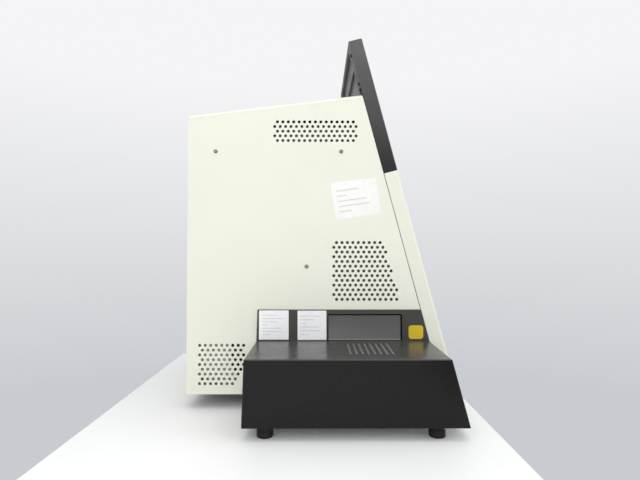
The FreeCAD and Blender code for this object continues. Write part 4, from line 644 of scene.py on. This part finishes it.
def cut_sheet(name, outlines, thickness, stand):
    """A flat sheet with eased edges: the first outline is its rim, the others are holes."""
    curve = bpy.data.curves.new(name, "CURVE")
    curve.dimensions = "2D"
    curve.fill_mode = "BOTH"
    curve.extrude = thickness / 2 - PANEL_EASE
    curve.bevel_depth = PANEL_EASE
    curve.bevel_resolution = 1
    curve.offset = -PANEL_EASE
    for outline in outlines:
        add_spline(curve, outline)
    holder = bpy.data.objects.new(name, curve)
    bpy.context.scene.collection.objects.link(holder)
    bpy.context.view_layer.update()
    graph = bpy.context.evaluated_depsgraph_get()
    mesh = bpy.data.meshes.new_from_object(holder.evaluated_get(graph))
    bpy.data.objects.remove(holder)
    bpy.data.curves.remove(curve)
    mesh.transform(stand)
    return mesh


def facing_left(x):
    return Matrix(((0, 0, 1, x), (1, 0, 0, 0), (0, 1, 0, 0), (0, 0, 0, 1)))


def facing_back(y):
    return Matrix(((1, 0, 0, 0), (0, 0, -1, y), (0, 1, 0, 0), (0, 0, 0, 1)))


def perforated_sheet():
    front_y, front_z = top_corner(TOP_BEND_R)
    outlines = [[(REAR_Y, BODY_BOTTOM), (REAR_Y, REAR_TOP - TOP_BEND_R / COS_TOP),
                 (front_y + SEAM_GAP, front_z - SEAM_GAP * TAN_TOP),
                 (SEAM_Y + SEAM_GAP, BODY_BOTTOM)],
                rectangle(WINDOW_LOW[0], WINDOW_HIGH[0], WINDOW_LOW[1], WINDOW_HIGH[1])]
    outlines += [ring_points(y, z, VENT_R, VENT_SIDES) for y, z in vent_places()]
    return cut_sheet("side_cover", outlines, SHEET, facing_left(X_LEFT + SHEET / 2))


def bend_profile():
    points = []
    for radius in (TOP_BEND_R, TOP_BEND_R - SHEET):
        arc = []
        for index in range(BEND_STEPS + 1):
            angle = math.pi / 2 * index / BEND_STEPS
            arc.append((TOP_BEND_R - radius * math.cos(angle),
                        TOP_BEND_R - radius * math.sin(angle)))
        end = (TOP_BEND_R + TOP_FLANGE, TOP_BEND_R - radius)
        points.append(arc + [end])
    return points[0] + points[1][::-1]


def top_bend():
    vertices = []
    profile = bend_profile()
    for across, drop in profile:
        vertices.append(Vector((X_LEFT + across, REAR_Y, REAR_TOP - drop / COS_TOP)))
    for across, drop in profile:
        y, z = top_corner(drop)
        vertices.append(Vector((X_LEFT + across, y + SEAM_GAP, z - SEAM_GAP * TAN_TOP)))
    return vertices, prism_faces(len(profile))


def side_cover():
    sheet = new_piece("side_cover", perforated_sheet(), "cream_paint")
    bend = new_piece("side_cover_bend", mesh_of("side_cover_bend", *top_bend()), "cream_paint",
                     smooth=True)
    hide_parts("left_side_panel")
    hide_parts("left_side_panel")


# Rear cover with its openings
def rear_cover():
    low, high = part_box("rear_panel")
    left, right, top = low.x, high.x, high.z
    outline = [(left, BODY_BOTTOM), (right, BODY_BOTTOM)]
    outline += [(right - across, top - drop) for across, drop in REAR_CORNER]
    outline += [(left + across, top - drop) for across, drop in REAR_CORNER[::-1]]
    half_w, half_h = INLET_HOLE[0] / 2, INLET_HOLE[1] / 2
    holes = [ring_points(*FAN_PLACE, FAN_BORE_R, BORE_SIDES),
             rectangle(INLET_PLACE[0] - half_w, INLET_PLACE[0] + half_w,
                       INLET_PLACE[1] - half_h, INLET_PLACE[1] + half_h)]
    for x, width, height in PORT_HOLES:
        holes.append(rectangle(x - width / 2, x + width / 2, INLET_PLACE[1] - height / 2,
                               INLET_PLACE[1] + height / 2))
    mesh = cut_sheet("rear_cover", [outline] + holes, SHEET, facing_back(REAR_Y - SHEET / 2))
    sheet = new_piece("rear_cover", mesh, "cream_paint")
    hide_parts("rear_panel")
    parts = []
    for x in REAR_FLANGES:
        parts.append(box_part((x, low.y, REAR_FLANGE_Z[0]),
                              (x + SHEET, REAR_Y - SHEET, REAR_FLANGE_Z[1])))
    mesh = mesh_of("rear_cover_flanges", *gathered(parts))
    flanges = new_piece("rear_cover_flanges", mesh, "cream_paint")
    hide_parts("rear_panel")


# Fan
def turned(part, axis_y, angle):
    """A part turned about the fan's axis, which runs along Y through the fan's place."""
    vertices, faces = part
    spin = Matrix.Rotation(angle, 3, "Y")
    hub = Vector((FAN_PLACE[0], axis_y, FAN_PLACE[1]))
    return [hub + spin @ (Vector(vertex) - hub) for vertex in vertices], faces


def fan_housing():
    low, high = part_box("fan_frame")
    x, z = FAN_PLACE
    half, cut = (high.x - low.x) / 2, FAN_CORNER_CUT
    outline = []
    for turn in range(4):
        sine, cosine = round(math.sin(turn * math.pi / 2)), round(math.cos(turn * math.pi / 2))
        for across, up in ((half, cut - half), (half, half - cut)):
            outline.append((x + across * cosine - up * sine, z + across * sine + up * cosine))
    mesh = cut_sheet("fan_housing", [outline, ring_points(x, z, FAN_BORE_R, BORE_SIDES)],
                     high.y - low.y, facing_back((low.y + high.y) / 2))
    made = new_piece("fan_housing", mesh, "black_plastic", smooth=True)
    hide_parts("fan_frame")
    profile = [(radius * MM, height * MM) for radius, height in SPIDER_PROFILE]
    parts = [lathe(profile, HUB_SIDES, (x, low.y, z), (0, 1, 0))]
    arm = box_part((x - ARM_HALF_W, low.y, z),
                   (x + ARM_HALF_W, low.y + ARM_T, z + FAN_BORE_R + ARM_OVERLAP))
    parts += [turned(arm, low.y, index * 2 * math.pi / ARM_COUNT) for index in range(ARM_COUNT)]
    spider = new_piece("fan_spider", mesh_of("fan_spider", *gathered(parts)), "black_plastic",
                       smooth=True)
    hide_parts("fan_frame")


def fan_blade(middle):
    x, z = FAN_PLACE
    steps, vertices, faces = BLADE_STEPS, [], []
    for side in (-1, 1):
        for row in range(steps + 1):
            share = row / steps
            radius = BLADE_R + BLADE_REACH * share
            chord = BLADE_CHORD + BLADE_CHORD_GAIN * share
            pitch = math.radians(BLADE_PITCH - BLADE_PITCH_LOSS * share)
            for column in range(steps + 1):
                place = column / steps - 0.5
                angle = BLADE_SWEEP * share + place * chord * math.cos(pitch) / radius
                swell = 1 - 4 * place * place
                bow, thick = BLADE_BOW * swell, side * (BLADE_EDGE + BLADE_SWELL * swell)
                vertices.append((x + radius * math.sin(angle),
                                 middle + place * chord * math.sin(pitch) + bow + thick,
                                 z + radius * math.cos(angle)))
    row_size = steps + 1
    half = row_size * row_size
    for row in range(steps):
        for column in range(steps):
            here = row * row_size + column
            loop = [here, here + 1, here + row_size + 1, here + row_size]
            faces.append(loop)
            faces.append([half + index for index in loop[::-1]])
    rim = list(range(row_size))
    rim += [row * row_size + steps for row in range(1, row_size)]
    rim += [steps * row_size + column for column in range(steps - 1, -1, -1)]
    rim += [row * row_size for row in range(steps - 1, 0, -1)]
    for index, here in enumerate(rim):
        after = rim[(index + 1) % len(rim)]
        faces.append([here, after, half + after, half + here])
    return vertices, faces


def fan_wheel():
    low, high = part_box("fan_rotor")
    x, z = FAN_PLACE
    length = high.y - low.y
    parts = [lathe([(0, 0.5 * MM), (15 * MM, 0.5 * MM), (16 * MM, 0), (HUB_R, 1 * MM),
                    (HUB_R, length - 1.6 * MM), (16.6 * MM, length - 0.6 * MM), (15.6 * MM, length),
                    (11 * MM, length), (10.4 * MM, length - 0.5 * MM), (0, length - 0.5 * MM)],
                   HUB_SIDES, (x, low.y, z), (0, 1, 0))]
    blade = fan_blade((low.y + high.y) / 2 - BLADE_SET_BACK)
    turns = [index * 2 * math.pi / BLADE_COUNT for index in range(BLADE_COUNT)]
    parts += [turned(blade, low.y, angle) for angle in turns]
    made = new_piece("fan_wheel", mesh_of("fan_wheel", *gathered(parts)), "black_plastic", "fan",
                     smooth=True)
    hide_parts("fan_rotor")


# Door button
def round_button():
    outward = (0, -COS_FRONT, SIN_FRONT)
    scaled = [(radius * MM, height * MM) for radius, height in BUTTON_PROFILE]
    centre = head_centres("door_button", outward)[0]
    mesh = mesh_of("round_button", *lathe(scaled, 48, centre, outward))
    made = new_piece("round_button", mesh, BUTTON_PLASTIC, "button",
                     smooth=True)
    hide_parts("door_button")


# Screws
def button_head(centre, axis, radius, height):
    socket, depth = radius * SOCKET_R / HEAD_R, height * SOCKET_DEPTH / HEAD_T
    profile = [(0, 0), (radius, 0), (radius, height * 0.25), (radius * 0.93, height * 0.6),
               (radius * 0.76, height * 0.88), (radius * 0.55, height), (socket, height),
               (socket, height - depth), (0, height - depth)]
    return lathe(profile, 24, centre, axis)


def head_centres(node, axis):
    """The middle of the seat of each screw head in a node, read from its separate solids."""
    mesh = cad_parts[node].data
    built = bmesh.new()
    built.from_mesh(mesh)
    bmesh.ops.remove_doubles(built, verts=built.verts, dist=1e-6)
    left = set(built.verts)
    centres = []
    axis = Vector(axis)
    while left:
        stack, group = [left.pop()], []
        while stack:
            vertex = stack.pop()
            group.append(vertex.co.copy())
            for edge in vertex.link_edges:
                other = edge.other_vert(vertex)
                if other in left:
                    left.remove(other)
                    stack.append(other)
        high = max(point.dot(axis) for point in group)
        top = [point for point in group if high - point.dot(axis) < 0.1 * MM]
        centres.append(sum(top, Vector()) / len(top))
    built.free()
    return centres


def screw_heads(name, node, axis, radius, height, material, body=ROOT):
    axis = Vector(axis)
    parts = []
    for centre in head_centres(node, axis):
        parts.append(button_head(centre - axis * height, axis, radius, height))
    made = new_piece(name, mesh_of(name, *gathered(parts)), material, body, smooth=True)
    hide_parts(node)


def side_screw_heads():
    parts = []
    for inset, lift in SIDE_SCREWS:
        y, z = REAR_Y - inset, BODY_BOTTOM + lift
        parts.append(button_head((X_LEFT, y, z), (-1, 0, 0), HEAD_R, HEAD_T))
        parts.append(button_head((X_RIGHT, y, z), (1, 0, 0), HEAD_R, HEAD_T))
    mesh = mesh_of("side_cover_screws", *gathered(parts))
    made = new_piece("side_cover_screws", mesh, SCREW_STEEL, smooth=True)
    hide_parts("side_screws")


# Feet
def foot(centre_x, centre_y, radius, height):
    ease, neck = FOOT_EASE, radius * 0.9
    profile = [(0, FOOT_DISH), (radius * 0.35, FOOT_DISH), (radius * 0.35, 0), (radius - ease, 0),
               (radius - ease * 0.3, ease * 0.3), (radius, ease), (radius, height * 0.42),
               (radius * 0.97, height * 0.47), (neck, height * 0.52), (neck, height), (0, height)]
    return lathe(profile, 40, (centre_x, centre_y, 0), (0, 0, 1))


def feet():
    for name, node, radius in (("loader_feet", "unit_feet", LOADER_FOOT_R),
                               ("cabinet_feet", "body_feet", CABINET_FOOT_R)):
        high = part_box(node)[1]
        parts = [foot(c.x, c.y, radius, high.z) for c in head_centres(node, (0, 0, -1))]
        made = new_piece(name, mesh_of(name, *gathered(parts)), "rubber", smooth=True)
        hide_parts(node)


# Woven screen under the shelf slots, pressed up into them
def woven(low, high, pitch, radius):
    """Straight wires along Y and waved wires along X, its top at high.z."""
    middle = high.z - 2 * radius
    count_x = int((high.x - low.x - 2 * radius) / pitch)
    count_y = int((high.y - low.y - 2 * radius) / pitch)
    parts = []
    for index in range(count_x + 1):
        x = low.x + radius + index * pitch
        parts.append(tube_along([(x, low.y, middle), (x, high.y, middle)], radius, WIRE_SIDES))
    for index in range(count_y + 1):
        y = low.y + radius + index * pitch
        points = []
        for step in range(2 * count_x + 1):
            lift = radius * math.cos(math.pi * (step + 2 * (index % 2)) / 2)
            points.append((low.x + radius + step * pitch / 2, y, middle + lift))
        parts.append(tube_along(points, radius, WIRE_SIDES))
    return parts


def woven_screen():
    low, high = SCREEN_LOW, SCREEN_HIGH
    parts = woven(low, high, COARSE_PITCH, COARSE_R)
    middle = (low.y + high.y) / 2
    top = SHELF_Z - SCREEN_DROP
    for index in range(SLOT_COUNT):
        y = middle + (index - (SLOT_COUNT - 1) / 2) * SLOT_PITCH
        half = SLOT_W / 2 - SLOT_SIDE_GAP
        parts += woven(Vector((SLOT_FAR + SLOT_END_GAP, y - half, top)),
                       Vector((SLOT_NEAR - SLOT_END_GAP, y + half, top)), FINE_PITCH, FINE_R)
    made = new_piece("shelf_screen", mesh_of("shelf_screen", *gathered(parts)), MESH_WIRE,
                     smooth=True)
    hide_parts("vent_screen")


# Plate flap with a rolled lower lip
def flap():
    x0, x1 = FLAP_LOW.x, FLAP_HIGH.x
    y0, y1 = FLAP_LOW.y, FLAP_Y1
    z0, z1 = FLAP_LOW.z - FLAP_DROP, FLAP_HIGH.z + FLAP_RISE
    ease = FLAP_EASE
    profile = [(x1, z0 + ease), (x1, z1 - ease), (x1 - ease, z1), (x0 + ease, z1), (x0, z1 - ease)]
    profile += [(x0 - out, z0 + lift) for out, lift in LIP_PROFILE] + [(x1 - ease, z0)]
    vertices = [(x, y, z) for y in (y0, y1) for x, z in profile]
    mesh = mesh_of("flap_panel", vertices, prism_faces(len(profile)))
    made = new_piece("flap_panel", mesh, FLAP_PLASTIC, "flap", smooth=True)
    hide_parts("plate_flap")


# Fan guard of bent wire
def fan_guard():
    x, z = (GUARD_LOW.x + GUARD_HIGH.x) / 2, (GUARD_LOW.z + GUARD_HIGH.z) / 2
    rear = GUARD_HIGH.y
    wire, reach = GUARD_WIRE_R, GUARD_REACH
    stay = ((GUARD_STAY_START, rear - 2.6 * wire), (reach - 4 * MM, rear - 2.6 * wire),
            (reach - 1.5 * MM, REAR_Y + 1.4 * wire))
    parts = []
    for radius in GUARD_RINGS:
        ring = [(across, rear - wire, up) for across, up in ring_points(x, z, radius, BORE_SIDES)]
        parts.append(tube_along(ring, wire, 8, closed=True))
    for dx in (-1, 1):
        for dz in (-1, 1):
            points = [(x + dx * out, y, z + dz * out) for out, y in stay]
            parts.append(tube_along(points, wire, 8))
            washer = [(0, 0), (WASHER_R, 0), (WASHER_R, WASHER_T), (0, WASHER_T)]
            parts.append(lathe(washer, 24, (x + dx * reach, REAR_Y, z + dz * reach), (0, 1, 0)))
            parts.append(button_head((x + dx * reach, REAR_Y + WASHER_T, z + dz * reach), (0, 1, 0),
                                     GUARD_SCREW_R, GUARD_SCREW_H))
    made = new_piece("fan_guard_wires", mesh_of("fan_guard_wires", *gathered(parts)), "steel",
                     smooth=True)
    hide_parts("fan_guard", "fan_screws")


# Stickers; every one is blank or has faint lines only
def sticker(name, corners, x, thickness, material, radius=1.2 * MM):
    """A flat film on a face towards -X; corners are (y, z) in order round it."""
    outline = []
    count = len(corners)
    for index, corner in enumerate(corners):
        here = Vector(corner)
        before = (Vector(corners[index - 1]) - here).normalized()
        after = (Vector(corners[(index + 1) % count]) - here).normalized()
        reach = radius / math.tan(before.angle(after) / 2)
        start, end = here + before * reach, here + after * reach
        for step in range(CORNER_STEPS + 1):
            share = step / CORNER_STEPS
            bend = start * (1 - share) ** 2 + here * 2 * share * (1 - share) + end * share ** 2
            outline.append(bend)
    vertices = [Vector((side, p.x, p.y)) for side in (x - thickness, x) for p in outline]
    mesh = mesh_of(name, vertices, prism_faces(len(outline)))
    return new_piece(name, mesh, material)


def stickers():
    riser = X_LEFT - RISER_T
    sticker("riser_label_rear", rectangle(*REAR_LABEL_PLACE), riser, FILM_T, REAR_LABEL)
    sticker("riser_label_front", rectangle(*FRONT_LABEL_PLACE), riser, FILM_T, FRONT_LABEL)
    sticker("side_label", SIDE_LABEL_CORNERS, X_LEFT, FILM_T, WIDE_LABEL)
    sticker("riser_patch", rectangle(*PATCH_PLACE), riser, FILM_T, YELLOW, radius=PATCH_R)


# Lamps, stage and camera
def area_light(name, place, target, size, power):
    lamp = bpy.data.lights.new(name, "AREA")
    lamp.shape = "RECTANGLE"
    lamp.size, lamp.size_y = size
    lamp.energy = power
    holder = bpy.data.objects.new(name, lamp)
    holder.location = place
    holder.rotation_euler = (Vector(target) - Vector(place)).to_track_quat("-Z", "Y").to_euler()
    bpy.context.scene.collection.objects.link(holder)


def world_light():
    world = bpy.data.worlds.new("studio")
    bpy.context.scene.world = world
    world.use_nodes = True
    tree = world.node_tree
    tree.nodes.clear()
    output = tree.nodes.new("ShaderNodeOutputWorld")
    ray = tree.nodes.new("ShaderNodeLightPath")
    place = tree.nodes.new("ShaderNodeTexCoord")
    split = tree.nodes.new("ShaderNodeSeparateXYZ")
    tree.links.new(place.outputs["Generated"], split.inputs["Vector"])
    height = tree.nodes.new("ShaderNodeMapRange")
    height.inputs["From Min"].default_value, height.inputs["From Max"].default_value = WALL_SPAN
    tree.links.new(split.outputs["Z"], height.inputs["Value"])
    wall = tree.nodes.new("ShaderNodeValToRGB")
    wall.color_ramp.elements[0].color = WALL_LOW
    wall.color_ramp.elements[1].color = WALL_HIGH
    tree.links.new(height.outputs["Result"], wall.inputs["Fac"])
    seen = tree.nodes.new("ShaderNodeBackground")
    tree.links.new(wall.outputs["Color"], seen.inputs["Color"])
    light = tree.nodes.new("ShaderNodeBackground")
    light.inputs["Color"].default_value = SKY_COLOUR
    light.inputs["Strength"].default_value = SKY_STRENGTH
    mix = tree.nodes.new("ShaderNodeMixShader")
    either = tree.nodes.new("ShaderNodeMath")
    either.operation = "MAXIMUM"
    clear = tree.nodes.new("ShaderNodeMath")
    clear.operation = "MAXIMUM"
    tree.links.new(ray.outputs["Is Camera Ray"], either.inputs[0])
    tree.links.new(ray.outputs["Is Glossy Ray"], either.inputs[1])
    tree.links.new(either.outputs[0], clear.inputs[0])
    tree.links.new(ray.outputs["Is Transmission Ray"], clear.inputs[1])
    tree.links.new(clear.outputs[0], mix.inputs["Fac"])
    tree.links.new(light.outputs[0], mix.inputs[1])
    tree.links.new(seen.outputs[0], mix.inputs[2])
    tree.links.new(mix.outputs[0], output.inputs["Surface"])


def table_top():
    mesh = mesh_of("table_top", *box_part(TABLE_LOW, TABLE_HIGH))
    made = bpy.data.objects.new("table_top", mesh)
    bpy.context.scene.collection.objects.link(made)
    ease = made.modifiers.new("ease", "BEVEL")
    ease.width, ease.segments = TABLE_EASE, 3
    look = Look("white_table")
    look.colour(look.ramp(look.noise(2.0), (0.94, 0.94, 0.93), (0.97, 0.97, 0.96)))
    look.roughness(look.span(look.noise(8.0), 0.45, 0.6))
    mesh.materials.append(look.material)


def set_camera():
    data = bpy.data.cameras.new("photo_camera")
    data.lens = CAMERA_LENS
    data.sensor_width = 36
    data.clip_start = 0.01
    holder = bpy.data.objects.new("photo_camera", data)
    holder.location = CAMERA_PLACE
    ahead = Vector((math.cos(CAMERA_PITCH) * math.cos(CAMERA_YAW),
                    -math.cos(CAMERA_PITCH) * math.sin(CAMERA_YAW), math.sin(CAMERA_PITCH)))
    holder.rotation_euler = ahead.to_track_quat("-Z", "Y").to_euler()
    bpy.context.scene.collection.objects.link(holder)
    bpy.context.scene.camera = holder


def dress_frame():
    for name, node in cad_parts.items():
        for place, old in enumerate(node.data.materials):
            key = old.name.split(".")[0]
            node.data.materials[place] = NODE_LOOKS.get(name, MATERIALS[key])


dress_frame()
side_cover()
side_screw_heads()
rear_cover()
fan_housing()
fan_wheel()
round_button()
screw_heads("rear_cover_screws", "rear_screws", (0, 1, 0), HEAD_R, HEAD_T, SCREW_STEEL)
screw_heads("bezel_cover_screws", "bezel_screws", (0, COS_FRONT, -SIN_FRONT), HEAD_R, HEAD_T,
            "dark_steel")
screw_heads("nest_screws", "carriage_screws", (0, 0, 1), NEST_SCREW_R, NEST_SCREW_H, "steel",
            body="nest")
feet()
woven_screen()
flap()
fan_guard()
stickers()
table_top()
set_camera()
world_light()
for lamp in LAMPS:
    area_light(*lamp)
bpy.context.scene.view_settings.view_transform = "Standard"
